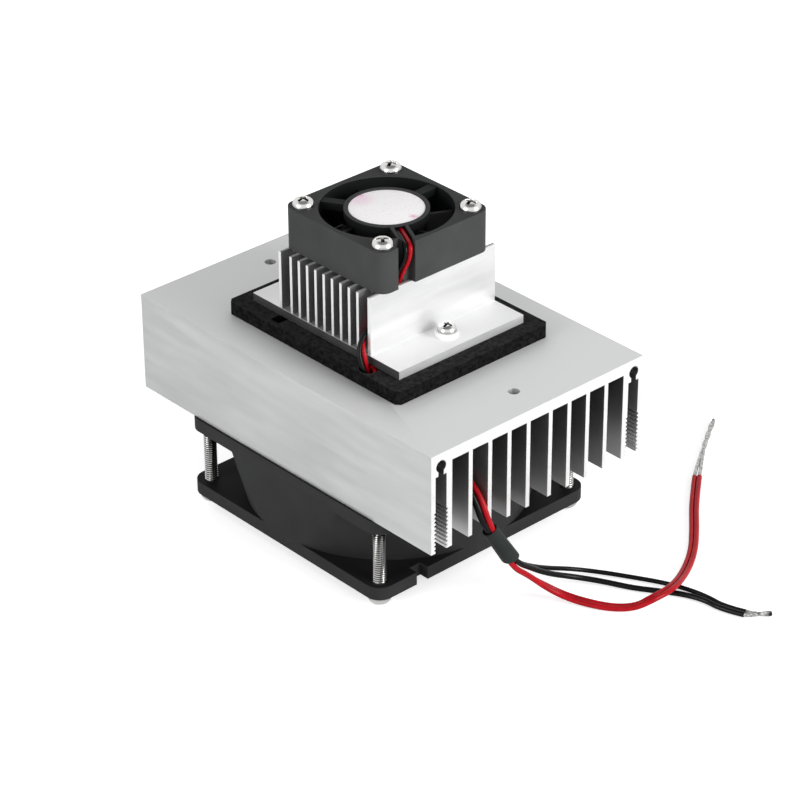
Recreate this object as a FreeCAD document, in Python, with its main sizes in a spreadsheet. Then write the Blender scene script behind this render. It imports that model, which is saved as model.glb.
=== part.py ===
"""A thermoelectric cooling module with a finned heatsink and a fan on each side.

Millimetres, +Z up. The origin is on the surface that the screw heads of the
lower fan stand on, midway along both sides of the lower heatsink. Its fins run
along Y, the side where the leads come out is -Y, and the cold side is on top.
"""

import FreeCAD, Part
import math
import os

import Sketcher

SIZES = {
    # Lower (hot) heatsink, one extrusion along Y
    "sink_length": 120.0,
    "sink_width": 78.5,
    "sink_height": 30.0,
    "sink_slab": 3.5,
    "sink_fin": 1.4,
    "sink_fin_first": 4.1,
    "sink_fin_pitch": 7.03,
    "sink_fins_a_side": 4,
    "sink_slot": 3.9,
    "sink_slot_fin": 2.0,
    "sink_slot_height": 23.3,
    "sink_tooth_depth": 0.4,
    "sink_tooth_pitch": 1.25,
    "sink_teeth": 10,
    "keyhole_bulb": 3.5,
    "keyhole_height": 26.1,
    "keyhole_neck": 1.9,
    "mount_hole": 3.3,
    "mount_spacing": 100.0,
    "lead_hole": 5.6,
    "lead_hole_x": 23.0,
    "lead_hole_y": 20.0,
    # Module of semiconductor legs between two ceramic plates
    "module_side": 40.0,
    "ceramic": 0.8,
    "tab": 0.4,
    "leg_height": 1.6,
    "leg_side": 1.4,
    "leg_margin": 0.775,
    "legs_a_row": 16,
    "module_seal": 0.9,
    "module_slack": 0.3,
    # Foam gasket round the module
    "foam_width": 56.0,
    "foam_length": 70.0,
    "foam_corner": 1.2,
    "foam_channel": 2.7,
    "foam_hole": 5.2,
    "foam_hole_x": 24.9,
    "foam_notch": 3.4,
    "foam_notch_y": 17.0,
    # Upper (cold) heatsink, one extrusion along X
    "cold_length": 46.0,
    "cold_width": 60.0,
    "cold_base": 2.5,
    "cold_height": 20.0,
    "cold_wall": 1.1,
    "cold_wall_face": 18.7,
    "cold_fin": 0.95,
    "cold_fin_pitch": 3.4,
    "cold_fins": 9,
    # Screws that clamp the stack, with their nylon washers beside the walls
    "clamp_gap": 2.1,
    "clamp_screw": 2.8,
    "clamp_head": 5.4,
    "clamp_head_height": 1.9,
    "clamp_screw_tail": 9.5,
    "clamp_washer": 6.4,
    "clamp_washer_height": 1.6,
    "screw_clearance": 0.3,
    "tapped_clearance": 0.05,
    # Lower (hot) fan, a little wider than the heatsink, its screws in the heatsink's slots
    "hot_overhang": 0.75,
    "hot_depth": 25.0,
    "hot_corner": 4.5,
    "hot_flange": 4.0,
    "hot_flare_top": 5.1,
    "hot_flare_foot": 0.7,
    "hot_duct_wall": 2.0,
    "hot_hole_inset": 4.25,
    "hot_hole": 4.4,
    "hot_base_disc": 41.0,
    "hot_base_thickness": 2.6,
    "hot_strut_width": 4.2,
    "hot_strut_depth": 3.4,
    "hot_strut_root": 0.7,
    "hot_label": 37.0,
    "hot_label_recess": 0.5,
    "hot_label_thickness": 0.2,
    "hot_hub": 39.0,
    "hot_hub_wall": 1.4,
    "hot_hub_end": 1.6,
    "hot_yoke_wall": 1.1,
    "hot_magnet_wall": 2.6,
    "hot_air_gap": 0.5,
    "hot_shaft": 3.0,
    "hot_bush_wall": 2.0,
    "hot_tube_wall": 1.3,
    "hot_boss_wall": 1.6,
    "hot_boss_height": 3.0,
    "hot_rotor_inset": 1.0,
    "hot_rotor_gap": 0.7,
    "hot_tip_gap": 0.8,
    "hot_blades": 7,
    "hot_blade": 1.3,
    "hot_board": 1.2,
    "hot_core": 6.0,
    "hot_coil": 2.2,
    "hot_coil_fill": 0.8,
    "hot_coil_play": 0.15,
    "hot_clip": 0.5,
    "hot_head": 7.0,
    "hot_head_height": 3.0,
    "hot_screw": 3.8,
    "hot_screw_grip": 12.0,
    "hot_notch": 4.0,
    "hot_notch_x": 23.9,
    "hot_notch_depth": 3.0,
    # Upper (cold) fan
    "cold_side": 40.0,
    "cold_depth": 12.4,
    "cold_corner": 3.5,
    "cold_bore": 37.2,
    "cold_hole_spacing": 32.0,
    "cold_hole": 3.2,
    "cold_base_disc": 23.5,
    "cold_base_thickness": 2.4,
    "cold_strut_width": 2.8,
    "cold_strut_depth": 2.6,
    "cold_strut_root": 0.45,
    "cold_label": 21.0,
    "cold_label_recess": 0.35,
    "cold_label_thickness": 0.15,
    "cold_hub": 22.0,
    "cold_hub_wall": 0.9,
    "cold_hub_end": 0.9,
    "cold_yoke_wall": 0.7,
    "cold_magnet_wall": 1.4,
    "cold_air_gap": 0.3,
    "cold_shaft": 2.0,
    "cold_bush_wall": 1.0,
    "cold_tube_wall": 0.8,
    "cold_boss_wall": 1.0,
    "cold_boss_height": 1.2,
    "cold_rotor_inset": 0.6,
    "cold_rotor_gap": 0.5,
    "cold_tip_gap": 0.5,
    "cold_blades": 7,
    "cold_blade": 0.8,
    "cold_board": 0.8,
    "cold_core": 2.4,
    "cold_coil": 1.2,
    "cold_coil_fill": 0.8,
    "cold_coil_play": 0.1,
    "cold_clip": 0.3,
    "cold_head": 6.2,
    "cold_head_height": 2.2,
    "cold_screw": 3.0,
    "cold_screw_grip": 5.0,
    "lead_channel_width": 5.0,
    "lead_groove_width": 3.2,
    "lead_groove_depth": 2.1,
    "lead_roof": 0.25,
    "side_groove_left": 14.0,
    "side_groove_right": 7.9,
    "side_groove_depth": 2.4,
    "side_recess_right": 10.2,
    "side_recess_depth": 4.1,
    # Running clearance of both shafts in their bushes
    "bearing_clearance": 0.03,
    # Leads, the sleeve that gathers them, and their tinned ends
    "fan_lead": 1.3,
    "module_lead": 1.6,
    "sleeve_length": 10.8,
    "sleeve_lead_in": 3.0,
    "sleeve_bore": 4.1,
    "sleeve_wall": 0.25,
    "bare_strand": 0.9,
    "bare_strand_stub": 1.2,
    "tinned_end": 1.4,
}

# How far a cut reaches past the face it leaves, and how deep a form runs into the next
OVERCUT = 1.0
JOIN = 0.2
# Shares of a screw's head: the recess's arm, width and depth, and the rim's rounding
RECESS_ARM = 0.58
RECESS_WIDTH = 0.15
RECESS_DEPTH = 0.55
HEAD_ROUNDING = 0.45
# Plastic left under the shaft, the height of the blades over the cup's face, and the
# share of the shaft's diameter that the clip's groove leaves
SHAFT_FLOOR = 0.3
BLADE_LIFT = 0.4
SHAFT_NECK = 0.7
# A blade's bulge as a share of its slope, and how far its tip trails, of the radius
BLADE_BULGE = 0.06
BLADE_TRAIL = 0.12
# A pole's width as a share of its length, and a coil's width over it, of its wire
POLE_SHARE = 0.5
COIL_SWELL = 1.6
# How far the open groove for the leads runs out, of half the small fan's side
GROOVE_REACH = 1.3
# The share of the shorter run that an arc of a lead's route takes at each end
ARC_SHARE = 0.45

COLD_STRUT_ANGLES = (4, 121)
COLD_CHANNEL_ANGLE = 244
HOT_STRUT_ANGLES = (30, 120, 210, 300)
POLE_ANGLES = (45, 135, 225, 315)
SLIT_ANGLES = (0, 90, 180, 270)
BLADE_PITCH = {"cold": 38, "hot": 40}
BLADE_TWIST = {"cold": 12, "hot": 16}

doc = FreeCAD.newDocument("cooling_module")
sheet = doc.addObject("Spreadsheet::Sheet", "Sizes")
for row, (alias, number) in enumerate(SIZES.items(), 1):
    sheet.set(f"A{row}", alias)
    sheet.set(f"B{row}", str(number))
    sheet.setAlias(f"B{row}", alias)
doc.recompute()


class Length:
    """A size worked out from the sheet: its formula for the document and its number."""

    def __init__(self, text, number):
        self.text = text
        self.number = number

    def __float__(self):
        return float(self.number)

    def __add__(self, other):
        return Length(f"({self.text} + {as_text(other)})", float(self) + float(other))

    def __radd__(self, other):
        return self + other

    def __sub__(self, other):
        return Length(f"({self.text} - {as_text(other)})", float(self) - float(other))

    def __rsub__(self, other):
        return Length(f"({as_text(other)} - {self.text})", float(other) - float(self))

    def __mul__(self, other):
        return Length(f"({self.text} * {as_text(other)})", float(self) * float(other))

    def __rmul__(self, other):
        return self * other

    def __truediv__(self, other):
        return Length(f"({self.text} / {as_text(other)})", float(self) / float(other))

    def __neg__(self):
        return Length(f"(0 - {self.text})", -float(self))


def as_text(item):
    """A Length's formula, or a plain number as text."""
    return item.text if isinstance(item, Length) else repr(float(item))


worked_out = {}


def size(alias):
    """The driving dimension of that name, or the size worked out from others under it."""
    if alias in worked_out:
        return worked_out[alias]
    return Length("Sizes." + alias, sheet.get(alias))


# The legs fill the room inside the seal, the clamp screws stand clear of the cold walls,
# and the large fan follows the lower heatsink
leg_room = size("module_side") - 2 * (size("module_seal") + size("leg_margin"))
worked_out["leg_pitch"] = (leg_room - size("leg_side")) / (size("legs_a_row") - 1)
worked_out["clamp_spacing"] = 2 * (size("cold_wall_face") + size("clamp_gap")) + size("clamp_washer")
worked_out["hot_side"] = size("sink_width") + 2 * size("hot_overhang")
worked_out["hot_barrel_top"] = size("hot_side") + 2 * size("hot_flare_top")
worked_out["hot_barrel_foot"] = size("hot_side") + 2 * size("hot_flare_foot")
worked_out["hot_bore"] = size("hot_side") - 2 * size("hot_duct_wall")
worked_out["hot_hole_spacing"] = size("hot_side") - 2 * size("hot_hole_inset")


def bind(item, prop, length):
    """Tie a property of a document object to a formula of the sheet."""
    item.setExpression(prop, as_text(length))


def place(item, x=0, y=0, z=0):
    """Tie an object's place to formulas of the sheet."""
    for axis, length in zip("xyz", (x, y, z)):
        bind(item, "Placement.Base." + axis, length)
    return item


def cylinder(name, diameter, height, x=0, y=0, z=0):
    item = doc.addObject("Part::Cylinder", name)
    bind(item, "Radius", diameter / 2)
    bind(item, "Height", height)
    return place(item, x, y, z)


def box(name, length, width, height, x=0, y=0, z=0):
    """A box of that length along X, width along Y and height, centred on x, y and standing on z."""
    item = doc.addObject("Part::Box", name)
    bind(item, "Length", length)
    bind(item, "Width", width)
    bind(item, "Height", height)
    return place(item, x - length / 2, y - width / 2, z)


def cut(name, base, *tools):
    """The base without the tools."""
    item = doc.addObject("Part::Cut", name)
    item.Base = base
    item.Tool = tools[0] if len(tools) == 1 else fuse(name + "_tools", *tools)
    return item


def fuse(name, *shapes):
    item = doc.addObject("Part::MultiFuse", name)
    item.Shapes = list(shapes)
    return item


def group(name, *solids):
    """Separate solids under one name."""
    item = doc.addObject("Part::Compound", name)
    item.Links = list(solids)
    return item


def plane(body, role):
    return next(f for f in body.Origin.OriginFeatures if f.Role == role)


def sketch_on(body, role, name, x=0, y=0, height=0):
    """A sketch on one of the body's planes, its origin moved in that plane and off it."""
    sketch = body.newObject("Sketcher::SketchObject", name)
    sketch.AttachmentSupport = [(plane(body, role), "")]
    sketch.MapMode = "FlatFace"
    for axis, length in zip("xyz", (x, y, height)):
        bind(sketch, "AttachmentOffset.Base." + axis, length)
    return sketch


def rectangle(sketch, width, depth):
    """A rectangle centred on the sketch's origin, both its sides tied to the sheet."""
    half_w = float(width) / 2
    half_d = float(depth) / 2
    corners = [(-half_w, -half_d), (half_w, -half_d), (half_w, half_d), (-half_w, half_d)]
    points = [FreeCAD.Vector(x, y, 0) for x, y in corners]
    for i in range(4):
        sketch.addGeometry(Part.LineSegment(points[i], points[(i + 1) % 4]), False)
    for i in range(4):
        sketch.addConstraint(Sketcher.Constraint("Coincident", i, 2, (i + 1) % 4, 1))
    for i, kind in enumerate(("Horizontal", "Vertical", "Horizontal", "Vertical")):
        sketch.addConstraint(Sketcher.Constraint(kind, i))
    sketch.addConstraint(Sketcher.Constraint("Symmetric", 0, 1, 1, 2, -1, 1))
    across = sketch.addConstraint(Sketcher.Constraint("DistanceX", 0, 1, 0, 2, 2 * half_w))
    along = sketch.addConstraint(Sketcher.Constraint("DistanceY", 1, 1, 1, 2, 2 * half_d))
    sketch.setExpression(f"Constraints[{across}]", as_text(width))
    sketch.setExpression(f"Constraints[{along}]", as_text(depth))


def circle(sketch, diameter):
    """A circle round the sketch's origin, its diameter tied to the sheet."""
    ring = Part.Circle(FreeCAD.Vector(0, 0, 0), FreeCAD.Vector(0, 0, 1), float(diameter) / 2)
    sketch.addGeometry(ring, False)
    sketch.addConstraint(Sketcher.Constraint("Coincident", 0, 3, -1, 1))
    index = sketch.addConstraint(Sketcher.Constraint("Diameter", 0, float(diameter)))
    sketch.setExpression(f"Constraints[{index}]", as_text(diameter))


def extrude(body, kind, sketch, length, both_ways=False, backwards=False):
    """Pad or pocket a sketch by that length, on one side of it or half to each side."""
    feature = body.newObject("PartDesign::" + kind, sketch.Name + "_" + kind.lower())
    feature.Profile = sketch
    feature.Midplane = both_ways
    feature.Reversed = backwards
    bind(feature, "Length", length)
    sketch.Visibility = False
    return feature


def pattern(body, feature, sketch, axis, pitch, count, backwards=False):
    """Repeat a feature along an axis of its sketch, one pitch apart."""
    row = body.newObject("PartDesign::LinearPattern", feature.Name + "_row")
    row.Originals = [feature]
    row.Direction = (sketch, [axis])
    row.Reversed = backwards
    bind(row, "Length", pitch * (count - 1))
    bind(row, "Occurrences", count)
    body.Tip = row
    return row


def bored(body, name, diameter, depth, x, y, height=0):
    """A round hole upwards through a body from that height."""
    sketch = sketch_on(body, "XY_Plane", name, x, y, height)
    circle(sketch, diameter)
    return extrude(body, "Pocket", sketch, depth, backwards=True)


# Heights of the stack, from the surface up
sink_bottom = size("hot_head_height") + size("hot_depth")
slab_top = sink_bottom + size("sink_height")
module_height = 2 * size("ceramic") + 2 * size("tab") + size("leg_height")
cold_base_bottom = slab_top + module_height
cold_base_top = cold_base_bottom + size("cold_base")
cold_fan_bottom = cold_base_bottom + size("cold_height")
cold_fan_top = cold_fan_bottom + size("cold_depth")


def hot_heatsink():
    """Extruded aluminium: a slab with upright fins below it and a screw slot near each side."""
    body = doc.addObject("PartDesign::Body", "hot_heatsink")
    place(body, 0, 0, sink_bottom)
    length = size("sink_length")
    height = size("sink_height")
    fin = size("sink_fin")
    first = size("sink_fin_first")
    pitch = size("sink_fin_pitch")
    side_fins = size("sink_fins_a_side")
    deep = height - size("sink_slab")
    slot_x = size("hot_hole_spacing") / 2
    slot = size("sink_slot")

    section = sketch_on(body, "XZ_Plane", "section", 0, height / 2)
    rectangle(section, size("sink_width"), height)
    extrude(body, "Pad", section, length, both_ways=True)

    def trough(name, width, depth, x, bottom=0):
        sketch = sketch_on(body, "XZ_Plane", name, x, bottom + depth / 2)
        rectangle(sketch, width, depth)
        return sketch, extrude(body, "Pocket", sketch, length + 2 * OVERCUT, both_ways=True)

    trough("middle_gap", 2 * first - fin, deep, 0)
    last_fin_face = first + pitch * (side_fins - 1) + fin / 2
    slot_fin_face = slot_x - slot / 2 - size("sink_slot_fin")
    last_gap = slot_fin_face - last_fin_face
    for word, way in (("left", -1), ("right", 1)):
        gap, gap_pocket = trough(word + "_gap", pitch - fin, deep, way * (first + pitch / 2))
        pattern(body, gap_pocket, gap, "H_Axis", pitch, side_fins - 1, backwards=way < 0)
        trough(word + "_last_gap", last_gap, deep, way * (last_fin_face + last_gap / 2))
        trough(word + "_slot", slot, size("sink_slot_height"), way * slot_x)
        neck_height = size("keyhole_height") - size("sink_slot_height")
        trough(word + "_neck", size("keyhole_neck"), neck_height, way * slot_x, size("sink_slot_height"))
        bulb = sketch_on(body, "XZ_Plane", word + "_bulb", way * slot_x, size("keyhole_height"))
        circle(bulb, size("keyhole_bulb"))
        extrude(body, "Pocket", bulb, length + 2 * OVERCUT, both_ways=True)
        for edge, face in (("inner", -1), ("outer", 1)):
            tooth_x = way * slot_x + face * (slot / 2)
            tooth, pocket = trough(
                f"{word}_{edge}_tooth",
                2 * size("sink_tooth_depth"),
                size("sink_tooth_pitch") / 2,
                tooth_x,
                size("sink_tooth_pitch") / 2,
            )
            pattern(body, pocket, tooth, "V_Axis", size("sink_tooth_pitch"), size("sink_teeth"))

    for word, way in (("front", -1), ("back", 1)):
        bored(body, word + "_mount_hole", size("mount_hole"), height, 0, way * size("mount_spacing") / 2)
        clamp_hole = size("clamp_screw") + 2 * size("tapped_clearance")
        bored(body, word + "_clamp_hole", clamp_hole, height, 0, way * size("clamp_spacing") / 2)
    hole = bored(
        body, "lead_hole", size("lead_hole"), size("sink_slab") + OVERCUT,
        -size("lead_hole_x"), -size("lead_hole_y"), deep,
    )
    body.Tip = hole
    return body


def foam_gasket():
    """Black closed-cell foam: a frame round the module, with room for the leads."""
    body = doc.addObject("PartDesign::Body", "foam_gasket")
    place(body, 0, 0, slab_top)
    outline = sketch_on(body, "XY_Plane", "outline")
    rectangle(outline, size("foam_width"), size("foam_length"))
    blank = extrude(body, "Pad", outline, module_height)
    doc.recompute()
    edges = [
        f"Edge{i}" for i, edge in enumerate(body.Shape.Edges, 1)
        if abs(edge.Vertexes[0].Z - edge.Vertexes[-1].Z) > float(module_height) / 2
    ]
    chamfer = body.newObject("PartDesign::Chamfer", "foam_corners")
    chamfer.Base = (blank, edges)
    bind(chamfer, "Size", size("foam_corner"))
    body.Tip = chamfer
    through = module_height + 2 * OVERCUT

    window_side = size("module_side") + 2 * size("module_slack")

    def opening(name, width, depth, x, y):
        sketch = sketch_on(body, "XY_Plane", name, x, y, -OVERCUT)
        rectangle(sketch, width, depth)
        extrude(body, "Pocket", sketch, through, backwards=True)

    opening("window", window_side, window_side, 0, 0)
    channel = size("foam_channel")
    channel_length = size("lead_hole_y") + size("foam_notch_y") + channel
    channel_y = (size("foam_notch_y") - size("lead_hole_y")) / 2
    opening("channel", 2 * channel, channel_length, -window_side / 2, channel_y)
    notch = size("foam_notch")
    opening("notch", notch, notch, -(size("cold_length") / 2 + notch / 2), size("foam_notch_y"))
    bored(
        body, "foam_lead_hole", size("foam_hole"), through,
        -size("foam_hole_x"), -size("lead_hole_y"), -OVERCUT,
    )
    for word, way in (("front", -1), ("back", 1)):
        hole = bored(
            body, word + "_screw_hole", size("clamp_screw") + size("screw_clearance"), through,
            0, way * size("clamp_spacing") / 2, -OVERCUT,
        )
    body.Tip = hole
    return body


def thermoelectric_module():
    """Two ceramic plates, the rows of legs between them, their copper tabs and the edge seal."""
    side = size("module_side")
    plate = size("ceramic")
    hot_plate = box("module_hot_plate", side, side, plate, 0, 0, slab_top)
    cold_plate = box("module_cold_plate", side, side, plate, 0, 0, cold_base_bottom - plate)
    seal_height = module_height - 2 * plate
    outer = box("seal_outer", side, side, seal_height, 0, 0, slab_top + plate)
    inner_side = side - 2 * size("module_seal")
    inner = box("seal_inner", inner_side, inner_side, seal_height, 0, 0, slab_top + plate)
    seal = cut("module_seal", outer, inner)

    count = int(float(size("legs_a_row")))
    pitch = float(size("leg_pitch"))
    leg = float(size("leg_side"))
    tab = float(size("tab"))
    leg_bottom = float(slab_top + plate + size("tab"))
    leg_top = leg_bottom + float(size("leg_height"))
    start = -pitch * (count - 1) / 2
    legs = []
    lower_tabs = []
    upper_tabs = []

    def between_legs(index):
        """The place midway between that leg of a row and the next."""
        return start + (index + 0.5) * pitch

    def block(x, y, z, length, width, height):
        corner = FreeCAD.Vector(x - length / 2, y - width / 2, z)
        return Part.makeBox(length, width, height, corner)

    for row in range(count):
        y = start + row * pitch
        for column in range(count):
            legs.append(block(start + column * pitch, y, leg_bottom, leg, leg, leg_top - leg_bottom))
        for pair in range(count // 2):
            upper_tabs.append(block(between_legs(2 * pair), y, leg_top, pitch + leg, leg, tab))
        for pair in range(1, count // 2):
            x = between_legs(2 * pair - 1)
            lower_tabs.append(block(x, y, leg_bottom - tab, pitch + leg, leg, tab))
    for row in range(count - 1):
        x = start if row % 2 else -start
        lower_tabs.append(block(x, between_legs(row), leg_bottom - tab, leg, pitch + leg, tab))
    pellets = doc.addObject("Part::Feature", "module_legs")
    pellets.Shape = Part.makeCompound(legs)
    tabs = doc.addObject("Part::Feature", "module_tabs")
    tabs.Shape = Part.makeCompound(lower_tabs + upper_tabs)
    return [hot_plate, cold_plate, seal, pellets, tabs]


def cold_heatsink():
    """Extruded aluminium: a flanged base with fins along X between two taller walls."""
    body = doc.addObject("PartDesign::Body", "cold_heatsink")
    place(body, 0, 0, cold_base_bottom)
    length = size("cold_length")
    base = size("cold_base")
    height = size("cold_height")

    def wall(name, thickness, tall, y, bottom):
        sketch = sketch_on(body, "YZ_Plane", name, y, bottom + tall / 2)
        rectangle(sketch, thickness, tall)
        return sketch, extrude(body, "Pad", sketch, length, both_ways=True)

    wall("base", size("cold_width"), base, 0, 0)
    for word, way in (("front", -1), ("back", 1)):
        wall(word + "_wall", size("cold_wall"), height - base / 2,
             way * (size("cold_wall_face") - size("cold_wall") / 2), base / 2)
    first = -size("cold_fin_pitch") * (size("cold_fins") - 1) / 2
    fin, pad = wall("fin", size("cold_fin"), height - base / 2, first, base / 2)
    pattern(body, pad, fin, "H_Axis", size("cold_fin_pitch"), size("cold_fins"))
    for word, way in (("front", -1), ("back", 1)):
        hole = bored(
            body, word + "_flange_hole", size("clamp_screw") + size("screw_clearance"), base + 2 * OVERCUT,
            0, way * size("clamp_spacing") / 2, -OVERCUT,
        )
    body.Tip = hole
    return body


def phillips_recess(name, head, height, x, y, top, upwards):
    """The cross-shaped recess in a screw's head."""
    arm = head * RECESS_ARM
    width = head * RECESS_WIDTH
    depth = height * RECESS_DEPTH
    z = top - depth if upwards else top
    return [
        box(name + "_arm_x", arm, width, depth, x, y, z),
        box(name + "_arm_y", width, arm, depth, x, y, z),
    ]


def pan_screw(name, prefix, x, y, seat, reach, upwards):
    """A pan-head screw whose head sits on that seat and whose shank reaches the other way."""
    head = size(prefix + "_head")
    height = size(prefix + "_head_height")
    head_z = seat if upwards else seat - height
    plain = cylinder(name + "_head", head, height, x, y, head_z)
    rounded = doc.addObject("Part::Fillet", name + "_round")
    rounded.Base = plain
    doc.recompute()
    top = seat + height if upwards else seat - height
    rim = [
        i for i, edge in enumerate(plain.Shape.Edges, 1)
        if len(edge.Vertexes) == 1 and abs(edge.CenterOfMass.z - float(top)) < 0.001
    ]
    radius = float(height) * HEAD_ROUNDING
    rounded.Edges = [(i, radius, radius) for i in rim]
    shank_z = seat - reach if upwards else seat
    shank = cylinder(name + "_shank", size(prefix + "_screw"), reach, x, y, shank_z)
    solid = fuse(name + "_solid", rounded, shank)
    return cut(name, solid, *phillips_recess(name, head, height, x, y, top, upwards))


def screw_set(name, prefix, places, seat, reach, upwards):
    """Like screws at those places, as one group."""
    screws = [
        pan_screw(f"{name}_{i}", prefix, x, y, seat, reach, upwards)
        for i, (x, y) in enumerate(places, 1)
    ]
    return group(name, *screws)


def corners(spacing):
    """The four corners of a square of that side."""
    half = spacing / 2
    return [(half, half), (-half, half), (-half, -half), (half, -half)]


def clamp_hardware():
    """Two screws that clamp the cold heatsink, each on a white nylon washer."""
    places = [(0, way * size("clamp_spacing") / 2) for way in (-1, 1)]
    seat = cold_base_top + size("clamp_washer_height")
    bore = size("clamp_screw") + size("screw_clearance")
    washers = []
    for i, (x, y) in enumerate(places, 1):
        thickness = size("clamp_washer_height")
        disc = cylinder(f"washer_{i}_disc", size("clamp_washer"), thickness, x, y, cold_base_top)
        hole = cylinder(f"washer_{i}_hole", bore, thickness, x, y, cold_base_top)
        washers.append(cut(f"washer_{i}", disc, hole))
    reach = size("clamp_washer_height") + size("cold_base") + module_height + size("clamp_screw_tail")
    screws = screw_set("clamp_screws", "clamp", places, seat, reach, upwards=True)
    return [group("clamp_washers", *washers), screws]


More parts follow.
